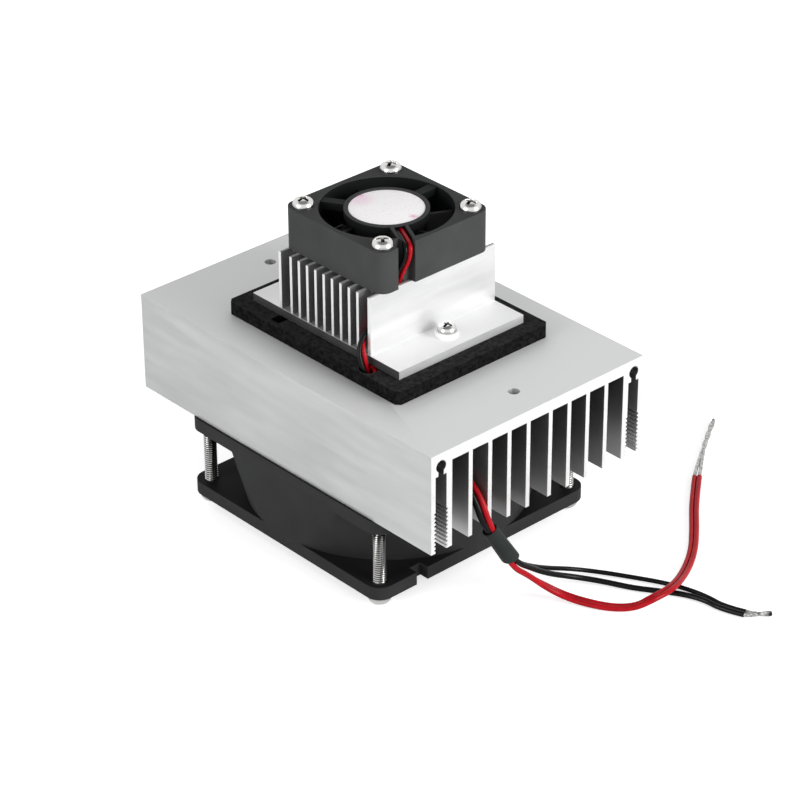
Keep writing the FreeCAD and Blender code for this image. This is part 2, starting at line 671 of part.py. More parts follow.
class Fan:
    """An axial fan in its own frame: z = 0 at the open side, the strut side at its depth."""

    def __init__(self, prefix):
        self.prefix = prefix
        self.depth = self.get("depth")
        self.disc_bottom = self.depth - self.get("base_thickness")
        self.label_floor = self.depth - self.get("label_recess")
        self.bush_bore = self.get("shaft") + 2 * size("bearing_clearance")
        self.bush_outer = self.bush_bore + 2 * self.get("bush_wall")
        self.tube_outer = self.bush_outer + 2 * self.get("tube_wall")
        self.hub_floor = self.get("rotor_inset") + self.get("hub_end")
        self.boss_top = self.hub_floor + self.get("boss_height")
        self.tube_bottom = self.boss_top + self.get("rotor_gap")
        self.skirt_top = self.disc_bottom - self.get("rotor_gap")
        self.yoke_outer = self.get("hub") - 2 * self.get("hub_wall")
        self.magnet_outer = self.yoke_outer - 2 * self.get("yoke_wall")
        self.magnet_inner = self.magnet_outer - 2 * self.get("magnet_wall")
        self.core_outer = self.magnet_inner - 2 * self.get("air_gap")
        self.clip_bottom = self.label_floor - 2 * self.get("clip")

    def get(self, word):
        return size(f"{self.prefix}_{word}")

    def name(self, word):
        return f"{self.prefix}_fan_{word}"

    def ring(self, word, outer, inner, bottom, top):
        """A ring round the fan's axis."""
        height = top - bottom
        disc = cylinder(self.name(word) + "_disc", outer, height, 0, 0, bottom)
        hole = cylinder(self.name(word) + "_hole", inner, height, 0, 0, bottom)
        return cut(self.name(word), disc, hole)

    def spoke(self, word, angle, width, inner, outer, bottom, top):
        """A bar along the radius at that angle."""
        bar = doc.addObject("Part::Box", self.name(word))
        bind(bar, "Length", outer - inner)
        bind(bar, "Width", width)
        bind(bar, "Height", top - bottom)
        turn = math.radians(angle)
        across = (math.sin(turn), -math.cos(turn))
        place(
            bar,
            inner * math.cos(turn) + width * (across[0] / 2),
            inner * math.sin(turn) + width * (across[1] / 2),
            bottom,
        )
        bar.Placement = FreeCAD.Placement(
            bar.Placement.Base, FreeCAD.Rotation(FreeCAD.Vector(0, 0, 1), angle)
        )
        return bar

    def square(self, word, bottom, top):
        """The fan's square outline with round corners, between two heights."""
        side = self.get("side")
        block = box(self.name(word) + "_block", side, side, top - bottom, 0, 0, bottom)
        doc.recompute()
        rounded = doc.addObject("Part::Fillet", self.name(word))
        rounded.Base = block
        upright = [
            i for i, edge in enumerate(block.Shape.Edges, 1)
            if abs(edge.Vertexes[0].Z - edge.Vertexes[-1].Z) > 0.5 * float(top - bottom)
        ]
        radius = float(self.get("corner"))
        rounded.Edges = [(i, radius, radius) for i in upright]
        return rounded

    def hub_support(self, angles):
        """The disc that the motor stands on, its struts and its bearing tube."""
        disc = cylinder(
            self.name("disc"), self.get("base_disc"), self.get("base_thickness"), 0, 0, self.disc_bottom
        )
        tube_height = self.disc_bottom - self.tube_bottom + JOIN
        tube = cylinder(self.name("tube"), self.tube_outer, tube_height, 0, 0, self.tube_bottom)
        reach = self.get("bore") / 2 + self.get("strut_root")
        struts = [
            self.spoke(
                f"strut_{i}", angle, self.get("strut_width"), self.get("base_disc") / 2 - OVERCUT, reach,
                self.depth - self.get("strut_depth"), self.depth - self.get("label_recess"),
            )
            for i, angle in enumerate(angles, 1)
        ]
        return [disc, tube] + struts

    def hub_cuts(self):
        """The label's recess and the bush's bore."""
        label = cylinder(
            self.name("recess"), self.get("label") + self.get("label_recess"), self.get("label_recess"),
            0, 0, self.label_floor,
        )
        bore = cylinder(self.name("bore"), self.bush_outer, self.depth, 0, 0, self.tube_bottom)
        return [label, bore]

    def screw_holes(self):
        return [
            cylinder(
                self.name(f"screw_hole_{i}"), self.get("hole"), self.depth + 2 * OVERCUT, x, y, -OVERCUT
            )
            for i, (x, y) in enumerate(corners(self.get("hole_spacing")), 1)
        ]

    def motor(self):
        """The pieces that stand still with the frame: label, bush, core, coils and board."""
        disc = cylinder(
            self.name("label_disc"), self.get("label"), self.get("label_thickness"), 0, 0, self.label_floor
        )
        label = group(self.name("label"), disc)
        bush_top = self.clip_bottom - self.get("clip")
        bush = self.ring("bush", self.bush_outer, self.bush_bore, self.tube_bottom, bush_top)
        board_bottom = self.disc_bottom - self.get("board")
        board = self.ring("board", self.core_outer, self.tube_outer, board_bottom, self.disc_bottom)
        core_middle = (self.tube_bottom + board_bottom) / 2
        core_bottom = core_middle - self.get("core") / 2
        core_top = core_middle + self.get("core") / 2
        neck_outer = self.core_outer - 2 * self.get("coil")
        neck_inner = self.tube_outer + self.get("coil")
        full = self.ring("core_blank", self.core_outer, self.tube_outer, core_bottom, core_top)
        span = (neck_outer - neck_inner) / 2
        neck = span * POLE_SHARE
        windows = self.ring("core_windows", neck_outer, neck_inner, core_bottom, core_top)
        poles = [
            self.spoke(f"pole_{i}", angle, neck, (neck_inner - JOIN) / 2, (neck_outer + JOIN) / 2,
                       core_bottom, core_top)
            for i, angle in enumerate(POLE_ANGLES, 1)
        ]
        slits = [
            self.spoke(f"slit_{i}", angle, neck, neck_outer / 2 - JOIN, self.core_outer / 2 + OVERCUT,
                       core_bottom - OVERCUT, core_top + OVERCUT)
            for i, angle in enumerate(SLIT_ANGLES, 1)
        ]
        openings = cut(self.name("core_gaps"), windows, *poles)
        core = cut(self.name("core"), full, openings, *slits)
        wire = self.get("coil") * self.get("coil_fill")
        play = self.get("coil_play")
        low = core_bottom - wire
        high = core_top + wire
        coils = []
        for i, angle in enumerate(POLE_ANGLES, 1):
            word = f"coil_{i}"
            swollen = neck + COIL_SWELL * wire
            bundle = self.spoke(word + "_bundle", angle, swollen, 0, neck_outer / 2, low, high)
            room = self.ring(word + "_room", neck_outer - 2 * play, neck_inner + 2 * play, low, high)
            wound = doc.addObject("Part::Common", self.name(word + "_wound"))
            wound.Base = bundle
            wound.Tool = room
            pole = self.spoke(word + "_pole", angle, neck + 2 * play, 0, self.core_outer / 2,
                              core_bottom - play, core_top + play)
            coils.append(cut(self.name(word), wound, pole))
        return [label, bush, board, core, group(self.name("coils"), *coils)]

    def blade_shape(self):
        """One blade: a thin pitched section near the hub, turned further at the tip."""
        root = float(self.get("hub")) / 2 - float(self.get("hub_wall")) / 2
        tip = float(self.get("bore")) / 2 + OVERCUT
        low = float(self.get("rotor_inset")) + BLADE_LIFT
        high = float(self.depth - self.get("strut_depth") - self.get("rotor_gap"))
        thick = float(self.get("blade"))
        rise = high - low

        def section(radius, pitch, lag):
            slope = rise / math.tan(math.radians(pitch))
            middle = lag * radius
            half = thick / math.sin(math.radians(pitch)) / 2
            camber = BLADE_BULGE * slope
            points = [
                (-slope / 2 - half, low), (-slope / 2 + half, low),
                (half + camber, (low + high) / 2), (slope / 2 + half, high),
                (slope / 2 - half, high), (camber - half, (low + high) / 2),
            ]
            corner = [FreeCAD.Vector(radius, middle + t, z) for t, z in points]
            return Part.makePolygon(corner + corner[:1])

        pitch = BLADE_PITCH[self.prefix]
        wires = [
            section(root, pitch + BLADE_TWIST[self.prefix], 0.0),
            section(tip, pitch, BLADE_TRAIL),
        ]
        return Part.makeLoft(wires, True, True)

    def impeller(self):
        """The plastic rotor: a cup with a boss for the shaft and its ring of blades."""
        inset = self.get("rotor_inset")
        cup = cylinder(self.name("cup"), self.get("hub"), self.skirt_top - inset, 0, 0, inset)
        hollow = cylinder(self.name("cup_hollow"), self.yoke_outer, self.depth, 0, 0, self.hub_floor)
        boss = cylinder(
            self.name("boss"), self.get("shaft") + 2 * self.get("boss_wall"),
            self.get("boss_height") + JOIN, 0, 0, self.hub_floor - JOIN,
        )
        shaft_hole = cylinder(
            self.name("shaft_hole"), self.get("shaft"), self.depth, 0, 0, inset + SHAFT_FLOOR
        )
        shell = cut(self.name("shell"), cup, hollow)
        hub = cut(self.name("hub"), fuse(self.name("hub_blank"), shell, boss), shaft_hole)
        doc.recompute()
        count = int(float(self.get("blades")))
        axis = FreeCAD.Vector(0, 0, 1)
        centre = FreeCAD.Vector(0, 0, 0)
        depth = float(self.depth)
        swept = Part.makeCylinder(float(self.get("bore")) / 2 - float(self.get("tip_gap")), depth)
        outside = swept.cut(Part.makeCylinder(float(self.get("hub") - self.get("hub_wall")) / 2, depth))
        blade = self.blade_shape().common(outside)
        blades = []
        for i in range(count):
            turned = blade.copy()
            turned.rotate(centre, axis, 360 * i / count)
            blades.append(turned)
        whole = doc.addObject("Part::Feature", self.name("impeller"))
        whole.Shape = hub.Shape.fuse(blades).removeSplitter()
        return whole

    def rotor(self):
        """The pieces that turn: impeller, steel yoke, magnet, shaft and its clip."""
        impeller = self.impeller()
        yoke_top = self.skirt_top - self.get("rotor_gap") / 2
        yoke = self.ring("yoke", self.yoke_outer, self.magnet_outer, self.hub_floor, yoke_top)
        magnet_bottom = self.hub_floor + self.get("rotor_gap")
        magnet = self.ring("magnet", self.magnet_outer, self.magnet_inner, magnet_bottom, yoke_top)
        shaft_bottom = self.get("rotor_inset") + SHAFT_FLOOR
        shaft_top = self.label_floor - self.get("clip") / 2
        pin_length = shaft_top - shaft_bottom
        pin = cylinder(self.name("shaft_blank"), self.get("shaft"), pin_length, 0, 0, shaft_bottom)
        neck = self.get("shaft") * SHAFT_NECK
        clip_outer = self.get("shaft") + self.get("bush_wall")
        clip_top = self.clip_bottom + self.get("clip")
        groove = self.ring("shaft_groove", clip_outer + OVERCUT, neck, self.clip_bottom, clip_top)
        shaft = cut(self.name("shaft"), pin, groove)
        clip = self.ring("shaft_clip", clip_outer, neck, self.clip_bottom, clip_top)
        return [impeller, yoke, magnet, shaft, clip]


def cold_fan():
    """The small fan on top: closed sides, struts on top, a covered way out for its leads."""
    fan = Fan("cold")
    depth = fan.depth
    block = fan.square("block_round", 0, depth)
    bore = cylinder(fan.name("duct"), fan.get("bore"), depth + 2 * OVERCUT, 0, 0, -OVERCUT)
    side_groove_span = size("side_groove_left") - size("side_groove_right")
    face = size("cold_side") / 2
    groove_x = -(size("side_groove_left") + size("side_groove_right")) / 2
    side_groove = box(fan.name("side_groove"), side_groove_span, 2 * size("side_groove_depth"),
                      depth + 2 * OVERCUT, groove_x, -face, -OVERCUT)
    recess_span = size("side_groove_left") - size("side_recess_right")
    recess_x = -(size("side_groove_left") + size("side_recess_right")) / 2
    side_recess = box(fan.name("side_recess"), recess_span, 2 * size("side_recess_depth"),
                      depth + 2 * OVERCUT, recess_x, -face, -OVERCUT)
    shell = cut(fan.name("shell_cut"), block, bore)
    channel = fan.spoke("channel", COLD_CHANNEL_ANGLE, size("lead_channel_width"),
                        fan.get("base_disc") / 2 - OVERCUT, fan.get("bore") / 2 + fan.get("strut_root"),
                        depth - fan.get("strut_depth"), depth)
    whole = fuse(fan.name("frame_blank"), shell, channel, *fan.hub_support(COLD_STRUT_ANGLES))
    groove_bottom = depth - size("lead_groove_depth")
    open_groove = fan.spoke("open_groove", COLD_CHANNEL_ANGLE, size("lead_groove_width"),
                            fan.get("base_disc") / 2, face * GROOVE_REACH, groove_bottom, depth + OVERCUT)
    covered = fan.spoke("covered_groove", COLD_CHANNEL_ANGLE, size("lead_groove_width"),
                        fan.core_outer / 2, fan.get("base_disc") / 2 + OVERCUT, groove_bottom,
                        fan.label_floor - size("lead_roof"))
    cuts = fan.hub_cuts() + fan.screw_holes() + [side_groove, side_recess, open_groove, covered]
    frame = cut(fan.name("frame"), whole, *cuts)
    still = [frame] + fan.motor()
    screws = screw_set("cold_fan_screws", "cold", corners(size("cold_hole_spacing")), depth,
                       depth + size("cold_screw_grip"), upwards=True)
    return still + [screws], fan.rotor()


def hot_fan():
    """The large fan underneath: two flanges joined by a flared barrel, open at the corners."""
    fan = Fan("hot")
    depth = fan.depth
    flange = fan.get("flange")
    top = fan.square("top_flange", 0, flange)
    foot = fan.square("foot_flange", depth - flange, depth)
    flared = doc.addObject("Part::Cone", fan.name("flare"))
    bind(flared, "Radius1", fan.get("barrel_top") / 2)
    bind(flared, "Radius2", fan.get("barrel_foot") / 2)
    bind(flared, "Height", depth - 2 * flange)
    place(flared, 0, 0, flange)
    middle = fan.square("middle", flange, depth - flange)
    barrel = doc.addObject("Part::Common", fan.name("barrel"))
    barrel.Base = flared
    barrel.Tool = middle
    solid = fuse(fan.name("casing_solid"), top, foot, barrel)
    duct = cylinder(fan.name("duct"), fan.get("bore"), depth + 2 * OVERCUT, 0, 0, -OVERCUT)
    shell = cut(fan.name("casing"), solid, duct)
    whole = fuse(fan.name("frame_blank"), shell, *fan.hub_support(HOT_STRUT_ANGLES))
    notch = box(fan.name("notch"), size("hot_notch"), 2 * size("hot_notch_depth"), flange + OVERCUT,
                -size("hot_notch_x"), size("hot_side") / 2, depth - flange)
    frame = cut(fan.name("frame"), whole, *fan.hub_cuts(), *fan.screw_holes(), notch)
    screws = screw_set("hot_fan_screws", "hot", corners(size("hot_hole_spacing")), depth,
                       depth + size("hot_screw_grip"), upwards=True)
    return [frame] + fan.motor() + [screws], fan.rotor()


# The route of each lead, from its joint to the end of its insulation
LEAD_ROUTES = {
    "cold_fan_red_lead": [
        (-3.2, -8.1, 93.0), (-5.1, -12.0, 93.0), (-6.9, -15.7, 93.1), (-8.75, -19.1, 93.1),
        (-9.5, -19.4, 89.2), (-11.0, -18.4, 85.7), (-11.1, -16.8, 81.8), (-12.4, -15.3, 77.6),
        (-17.3, -15.2, 73.4), (-22.9, -15.4, 70.4), (-26.1, -17.0, 66.4), (-26.5, -19.5, 61.8),
        (-24.5, -20.5, 57.1), (-23.5, -20.6, 53.4), (-23.1, -23.1, 50.3), (-22.8, -28.6, 47.3),
        (-22.6, -36.0, 45.0), (-22.4, -44.9, 43.1), (-22.0, -52.6, 40.4), (-21.4, -57.6, 36.1),
        (-20.8, -60.1, 29.2), (-14.2, -63.6, 16.1), (-8.7, -64.2, 10.6), (-2.9, -65.2, 5.4),
        (2.3, -69.5, 1.4), (5.3, -76.4, 1.0), (8.5, -81.8, 0.9), (12.2, -86.1, 1.7),
        (14.8, -88.7, 4.4), (22.1, -88.9, 4.4), (33.5, -83.1, 1.5), (43.3, -77.0, 0.9),
        (52.0, -69.3, 0.9), (61.8, -59.9, 0.9), (72.9, -50.9, 0.9),
    ],
    "cold_fan_black_lead": [
        (-4.5, -7.5, 93.0), (-6.4, -11.4, 93.0), (-8.2, -15.1, 93.1), (-10.2, -18.8, 93.1),
        (-10.9, -19.0, 89.2), (-12.6, -17.8, 85.7), (-12.9, -16.8, 81.8), (-13.1, -16.8, 77.9),
        (-15.2, -16.7, 74.2), (-18.8, -16.8, 71.5), (-23.4, -16.6, 69.6), (-24.9, -18.1, 66.2),
        (-24.8, -19.1, 61.6), (-23.8, -18.9, 57.2), (-22.6, -19.2, 52.9), (-22.1, -22.2, 49.2),
        (-21.7, -28.1, 46.1), (-21.2, -35.7, 44.0), (-20.7, -44.7, 42.6), (-20.3, -52.6, 40.5),
        (-20.1, -58.3, 36.6), (-19.6, -60.7, 30.1), (-13.0, -64.2, 17.0), (-7.4, -62.8, 12.2),
        (0.7, -62.3, 6.4), (9.8, -64.4, 2.6), (16.4, -69.9, 1.0), (20.5, -76.9, 0.9),
        (24.7, -83.4, 0.9), (28.1, -89.6, 0.9), (30.2, -95.8, 0.9), (30.1, -101.8, 0.9),
        (32.5, -107.5, 0.9),
    ],
    "module_red_lead": [
        (-20.0, -16.6, 60.7), (-21.2, -16.6, 60.7), (-22.0, -17.5, 60.75), (-22.2, -19.0, 60.7),
        (-22.6, -20.3, 59.8), (-22.9, -20.6, 57.2), (-22.2, -21.6, 53.9), (-21.9, -23.7, 51.2),
        (-21.5, -28.9, 48.3), (-21.6, -36.3, 46.4), (-21.9, -45.3, 44.6), (-22.1, -53.4, 41.9),
        (-22.1, -58.9, 37.0), (-21.5, -61.7, 29.3), (-14.9, -65.2, 16.2), (-8.8, -65.8, 10.9),
        (-3.7, -66.8, 5.4), (0.9, -70.5, 1.4), (3.5, -77.4, 1.0), (7.1, -82.8, 0.9),
        (11.0, -87.1, 1.7), (14.4, -90.5, 4.4), (22.5, -90.7, 4.4), (34.3, -84.7, 1.5),
        (44.3, -78.2, 0.9), (53.0, -70.5, 0.9), (62.8, -61.1, 0.9), (73.9, -52.1, 0.9),
    ],
    "module_black_lead": [
        (-20.0, 16.0, 59.8), (-21.2, 16.0, 59.8), (-22.0, 15.1, 59.7), (-22.0, 13.4, 59.5),
        (-21.6, 10.2, 59.3), (-21.7, 4.6, 59.0), (-21.4, -3.4, 58.9), (-21.7, -10.6, 58.9),
        (-21.7, -15.0, 58.9), (-21.9, -18.5, 58.7), (-21.4, -19.6, 54.6), (-20.7, -22.5, 50.3),
        (-20.4, -28.4, 47.1), (-20.2, -36.0, 45.4), (-20.2, -45.1, 44.1), (-20.4, -53.4, 42.0),
        (-20.6, -59.4, 37.5), (-20.2, -62.3, 30.2), (-13.5, -65.8, 17.2), (-7.3, -64.4, 12.2),
        (0.5, -63.9, 6.4), (9.0, -66.0, 2.6), (14.6, -71.3, 1.0), (17.9, -78.5, 0.9),
        (22.5, -84.8, 0.9), (26.5, -90.4, 0.9), (27.6, -96.2, 0.9), (28.5, -102.2, 0.9),
        (31.1, -108.1, 0.9),
    ],
}
# The run of the bundle inside the sleeve, and each pair's twisted bare end
SLEEVE_RUN = [(-20.5, -61.3, 29.7), (-13.9, -64.8, 16.6)]
BARE_ENDS = {
    "red_tinned_end": [(80.8, -45.7, 0.9), (90.0, -39.3, 0.9), (100.3, -33.1, 0.9)],
    "black_tinned_end": [(33.9, -110.4, 0.9), (37.0, -112.9, 0.9)],
}


def rounded_path(points):
    """Straight runs joined by tangent arcs that take the same share of the shorter run each."""
    corner = [FreeCAD.Vector(*point) for point in points]
    edges = []
    radii = []
    start = corner[0]
    for before, here, after in zip(corner, corner[1:], corner[2:]):
        incoming = (here - before).normalize()
        outgoing = (after - here).normalize()
        half = incoming.getAngle(outgoing) / 2
        reach = ARC_SHARE * min((here - before).Length, (after - here).Length)
        radius = reach / math.tan(half)
        inward = (outgoing - incoming).normalize()
        enter = here - incoming * reach
        leave = here + outgoing * reach
        middle = here + inward * (radius / math.cos(half) - radius)
        edges.append(Part.LineSegment(start, enter).toShape())
        edges.append(Part.Arc(enter, middle, leave).toShape())
        radii.append(radius)
        start = leave
    edges.append(Part.LineSegment(start, corner[-1]).toShape())
    return Part.Wire(edges), radii


def tube(points, diameter):
    """A round solid along the rounded path through those points."""
    path, radii = rounded_path(points)
    start = FreeCAD.Vector(*points[0])
    along = FreeCAD.Vector(*points[1]) - start
    ring = Part.Wire([Part.Circle(start, along, diameter / 2).toShape()])
    solid = path.makePipeShell([ring], True, False)
    return solid, path.Length, radii


def lead(name, diameter):
    """One insulated lead, whole from its joint to where it is stripped."""
    solid, length, radii = tube(LEAD_ROUTES[name], float(diameter))
    section = math.pi * float(diameter) ** 2 / 4
    share = round(solid.Volume / (section * length), 4)
    print(name, "length", round(length, 1), "volume by section", share)
    print("  radii", [round(radius, 1) for radius in radii])
    item = doc.addObject("Part::Feature", name)
    item.Shape = solid
    return item


def bare_end(name, leads):
    """Two stripped strands that run together and are twisted and tinned as one."""
    points = [FreeCAD.Vector(*point) for point in BARE_ENDS[name]]
    meet = points[0]
    strand = float(size("bare_strand")) / 2
    rod = float(size("tinned_end")) / 2
    pieces = [Part.makeSphere(rod, meet)]
    stub = float(size("bare_strand_stub"))
    for route in leads:
        before, start = (FreeCAD.Vector(*point) for point in LEAD_ROUTES[route][-2:])
        along = (start - before).normalize()
        bend = start + along * stub
        pieces.append(Part.makeCylinder(strand, stub, start, along))
        pieces.append(Part.makeSphere(strand, bend))
        pieces.append(Part.makeCylinder(strand, (meet - bend).Length, bend, meet - bend))
    for start, end in zip(points, points[1:]):
        pieces.append(Part.makeCylinder(rod, (end - start).Length, start, end - start))
        pieces.append(Part.makeSphere(rod, end))
    item = doc.addObject("Part::Feature", name)
    item.Shape = pieces[0].fuse(pieces[1:]).removeSplitter()
    return item


def lead_sleeve():
    """Heat-shrink sleeve that gathers the four leads where they leave the fins."""
    start, end = (FreeCAD.Vector(*point) for point in SLEEVE_RUN)
    along = (end - start).normalize()
    start = start + along * float(size("sleeve_lead_in"))
    length = float(size("sleeve_length"))
    bore = float(size("sleeve_bore"))
    outer = bore + 2 * float(size("sleeve_wall"))
    item = doc.addObject("Part::Feature", "lead_sleeve")
    solid = Part.makeCylinder(outer / 2, length, start, along)
    item.Shape = solid.cut(Part.makeCylinder(bore / 2, length, start, along))
    return item


def wiring():
    """The four leads, their sleeve and their two bare ends."""
    leads = [
        lead("cold_fan_red_lead", size("fan_lead")),
        lead("cold_fan_black_lead", size("fan_lead")),
        lead("module_red_lead", size("module_lead")),
        lead("module_black_lead", size("module_lead")),
    ]
    ends = [
        bare_end("red_tinned_end", ("cold_fan_red_lead", "module_red_lead")),
        bare_end("black_tinned_end", ("cold_fan_black_lead", "module_black_lead")),
    ]
    return leads + [lead_sleeve()] + ends


def stand(pieces, height, upside_down=False):
    """Put the pieces of a fan at their height, the strut side up or down."""
    turn = FreeCAD.Rotation(FreeCAD.Vector(1, 0, 0), 180 if upside_down else 0)
    for piece in pieces:
        piece.Placement = FreeCAD.Placement(FreeCAD.Vector(0, 0, float(height)), turn)
        bind(piece, "Placement.Base.z", height)
    return pieces


small_still, small_turning = cold_fan()
large_still, large_turning = hot_fan()
nodes = [hot_heatsink(), foam_gasket(), cold_heatsink()] + thermoelectric_module() + clamp_hardware()
nodes += stand(small_still + small_turning, cold_fan_bottom)
nodes += stand(large_still + large_turning, sink_bottom, upside_down=True)
nodes += wiring()
doc.recompute()

for item in doc.Objects:
    if "Invalid" in item.State or "Error" in item.State:
        raise RuntimeError(f"{item.Name} failed: {item.State}")
os.makedirs("parts", exist_ok=True)
for item in nodes:
    item.Label = item.Name
    shape = item.Shape
    if shape.isNull() or not shape.isValid() or not shape.Solids:
        raise RuntimeError(f"{item.Name} has no valid solid")
    shape.exportStep(f"parts/{item.Label}.step")
    corner = shape.BoundBox
    print(item.Label, len(shape.Solids), "solids", round(shape.Volume, 1), "mm3, z",
          round(corner.ZMin, 2), "to", round(corner.ZMax, 2))
print(len(nodes), "nodes")
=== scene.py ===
import bmesh
import bpy
import numpy as np
from mathutils import Matrix, Vector


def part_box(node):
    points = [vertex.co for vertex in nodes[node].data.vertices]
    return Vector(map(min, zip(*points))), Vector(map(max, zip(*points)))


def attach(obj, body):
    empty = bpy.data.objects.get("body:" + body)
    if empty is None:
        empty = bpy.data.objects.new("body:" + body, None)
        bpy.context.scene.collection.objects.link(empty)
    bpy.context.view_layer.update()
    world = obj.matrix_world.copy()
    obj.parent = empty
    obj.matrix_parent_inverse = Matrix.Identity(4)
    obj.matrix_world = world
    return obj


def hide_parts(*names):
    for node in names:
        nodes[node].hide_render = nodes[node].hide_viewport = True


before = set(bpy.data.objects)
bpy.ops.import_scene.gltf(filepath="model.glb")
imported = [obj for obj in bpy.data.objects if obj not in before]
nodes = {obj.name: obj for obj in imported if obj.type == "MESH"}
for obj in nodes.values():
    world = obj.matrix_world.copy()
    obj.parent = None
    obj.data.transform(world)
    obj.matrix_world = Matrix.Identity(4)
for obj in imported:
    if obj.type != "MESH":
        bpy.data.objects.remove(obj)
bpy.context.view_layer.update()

# Lower heatsink: one length of aluminium, extruded with a serrated screw slot near each
# side, sawn off square at both ends and drilled for screws and for the leads. The die
# leaves fine lines along it. Its top face has painted light, a lighter colour than its
# sides, and is more even; its sawn ends have painted light, and the channels between its
# fins painted shade at their roots and painted light at their tips.


def add(tree, kind, inputs=None, **settings):
    """One shader node, with its settings, and its inputs set to a value or linked to a socket."""
    item = tree.nodes.new("ShaderNode" + kind)
    for name, value in settings.items():
        setattr(item, name, value)
    for name, value in (inputs or {}).items():
        if isinstance(value, bpy.types.NodeSocket):
            tree.links.new(value, item.inputs[name])
        else:
            item.inputs[name].default_value = value
    return item


def finish(name, color, roughness, metallic=0.0, **more):
    """A material: itself, its tree, its shader and the place on the piece, in metres."""
    material = bpy.data.materials.new(name)
    material.use_nodes = True
    tree = material.node_tree
    shader = tree.nodes["Principled BSDF"]
    shader.inputs["Base Color"].default_value = (*color, 1)
    shader.inputs["Roughness"].default_value = roughness
    shader.inputs["Metallic"].default_value = metallic
    for socket, value in more.items():
        shader.inputs[socket.replace("_", " ")].default_value = value
    return material, tree, shader, add(tree, "TexCoord").outputs["Object"]


def connect(tree, shader, **sockets):
    """Link each socket to the shader's input of that name."""
    for name, socket in sockets.items():
        tree.links.new(socket, shader.inputs[name.replace("_", " ")])


def reckon(tree, operation, *values):
    """A sum, product or the like of one or two values or sockets."""
    return add(tree, "Math", dict(enumerate(values)), operation=operation).outputs[0]


def grain(tree, place, size, detail):
    """Noise from 0 to 1 whose grains have that size along each axis, in metres."""
    scaled = add(tree, "Mapping", {"Vector": place, "Scale": [1 / s for s in size]}).outputs[0]
    return add(tree, "TexNoise", {"Vector": scaled, "Scale": 1.0, "Detail": detail}).outputs[0]


def drawn_out(width, axis, length):
    """A grain's size along each axis: the width, but the length along the axis it is drawn out on."""
    return [length if i == axis else width for i in range(3)]


def between(tree, value, low, high, start=0.3, end=0.7):
    """From low to high as the value goes from start to end, which suit noise if not given."""
    return add(tree, "MapRange", {"Value": value, "From Min": start, "From Max": end,
                                  "To Min": low, "To Max": high}).outputs[0]


def blend(tree, factor, first, second):
    """A value between two values or sockets, by the factor."""
    return add(tree, "Mix", {"Factor": factor, 2: first, 3: second}, data_type="FLOAT").outputs[0]


def blend_colors(tree, factor, first, second):
    """A colour between two colours or sockets, by the factor."""
    ends = [end if isinstance(end, bpy.types.NodeSocket) else (*end, 1) for end in (first, second)]
    return add(tree, "Mix", {"Factor": factor, 6: ends[0], 7: ends[1]}, data_type="RGBA").outputs[2]


def mottled(tree, pattern, color, dark, light):
    """The colour times dark to light, by the pattern."""
    return blend_colors(tree, between(tree, pattern, 0, 1), [dark * c for c in color],
                        [light * c for c in color])


def relief(tree, shader, height, depth, strength):
    """Raise the surface by the height, a value from 0 to 1, times the depth in metres."""
    bump = add(tree, "Bump", {"Height": height, "Distance": depth, "Strength": strength})
    connect(tree, shader, Normal=bump.outputs[0])


def facing(tree, axis, least=0.9):
    """1 on faces whose normal has at least that share along the axis, either way, or else 0."""
    normal = add(tree, "SeparateXYZ", {"Vector": add(tree, "TexCoord").outputs["Normal"]})
    return reckon(tree, "GREATER_THAN", reckon(tree, "ABSOLUTE", normal.outputs[axis]), least)


def extruded_aluminium(name, along, edge, outer, root, tip, side, channel, bright, top, end, base_end):
    """Aluminium with die lines along one axis and sawn faces across it.

    Inside the edge, a distance from the middle, lie the channels between its fins. Their
    colour is painted shade and light: from the channel colour at the fins' roots to the
    bright one at the tips, two heights, with the square of the share of the way. Channels
    inside the outer distance get half of that painted light. A face that looks up or down
    has the top colour, painted light, and is the most even. The sawn faces have the end
    colour, painted light, and the base's sawn faces a painted colour of its own.
    """
    material, tree, shader, place = finish(name, side, 0.4, 0.75)
    lines = grain(tree, place, drawn_out(0.00018, along, 0.06), 4)
    streaks = grain(tree, place, drawn_out(0.004, along, 0.03), 3)
    saw_marks = grain(tree, place, drawn_out(0.0006, 2, 0.012), 2)
    sawn, level_faces = facing(tree, along), facing(tree, 2)
    where = add(tree, "SeparateXYZ", {"Vector": place}).outputs
    across = reckon(tree, "ABSOLUTE", where[1 - along])
    border = 0.0001
    before_root = root - 2 * border if tip > root else root + 2 * border
    past_root = between(tree, where[2], 0, 1, before_root, root)
    within_edge = between(tree, across, 1, 0, edge - border, edge + border)
    share = reckon(tree, "POWER", between(tree, where[2], 0, 1, root, tip), 2.0)
    halved = between(tree, across, 0.5, 1, outer - 10 * border, outer + 10 * border)
    # Painted shade at the fins' roots and painted light at their tips, in the channels.
    channel_painted_light = blend_colors(tree, reckon(tree, "MULTIPLY", share, halved), channel, bright)
    # Faces that look up or down get the top colour, painted light.
    outside = blend_colors(tree, level_faces, mottled(tree, streaks, side, 0.92, 1.05), top)
    drawn = blend_colors(tree, reckon(tree, "MULTIPLY", within_edge, past_root), outside, channel_painted_light)
    # Sawn faces get the end colour, painted light, and in the base the base's end colour, painted light
    # in the lower heatsink and painted shade in the upper one.
    color = blend_colors(tree, sawn, drawn, blend_colors(tree, past_root, base_end, end))
    connect(tree, shader, Base_Color=color, Metallic=between(tree, level_faces, 0.75, 0.4, 0, 1),
            Roughness=blend(tree, level_faces, between(tree, streaks, 0.38, 0.5), 0.65))
    relief(tree, shader, blend(tree, sawn, lines, saw_marks), 0.00002, 0.35)
    return material


def piece(name, shape, material, body, node):
    """A piece of the object: its mesh or curve, material, body and the node it stands for."""
    item = bpy.data.objects.new(name, shape)
    bpy.context.collection.objects.link(item)
    shape.materials.append(material)
    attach(item, body)
    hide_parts(node)
    return item


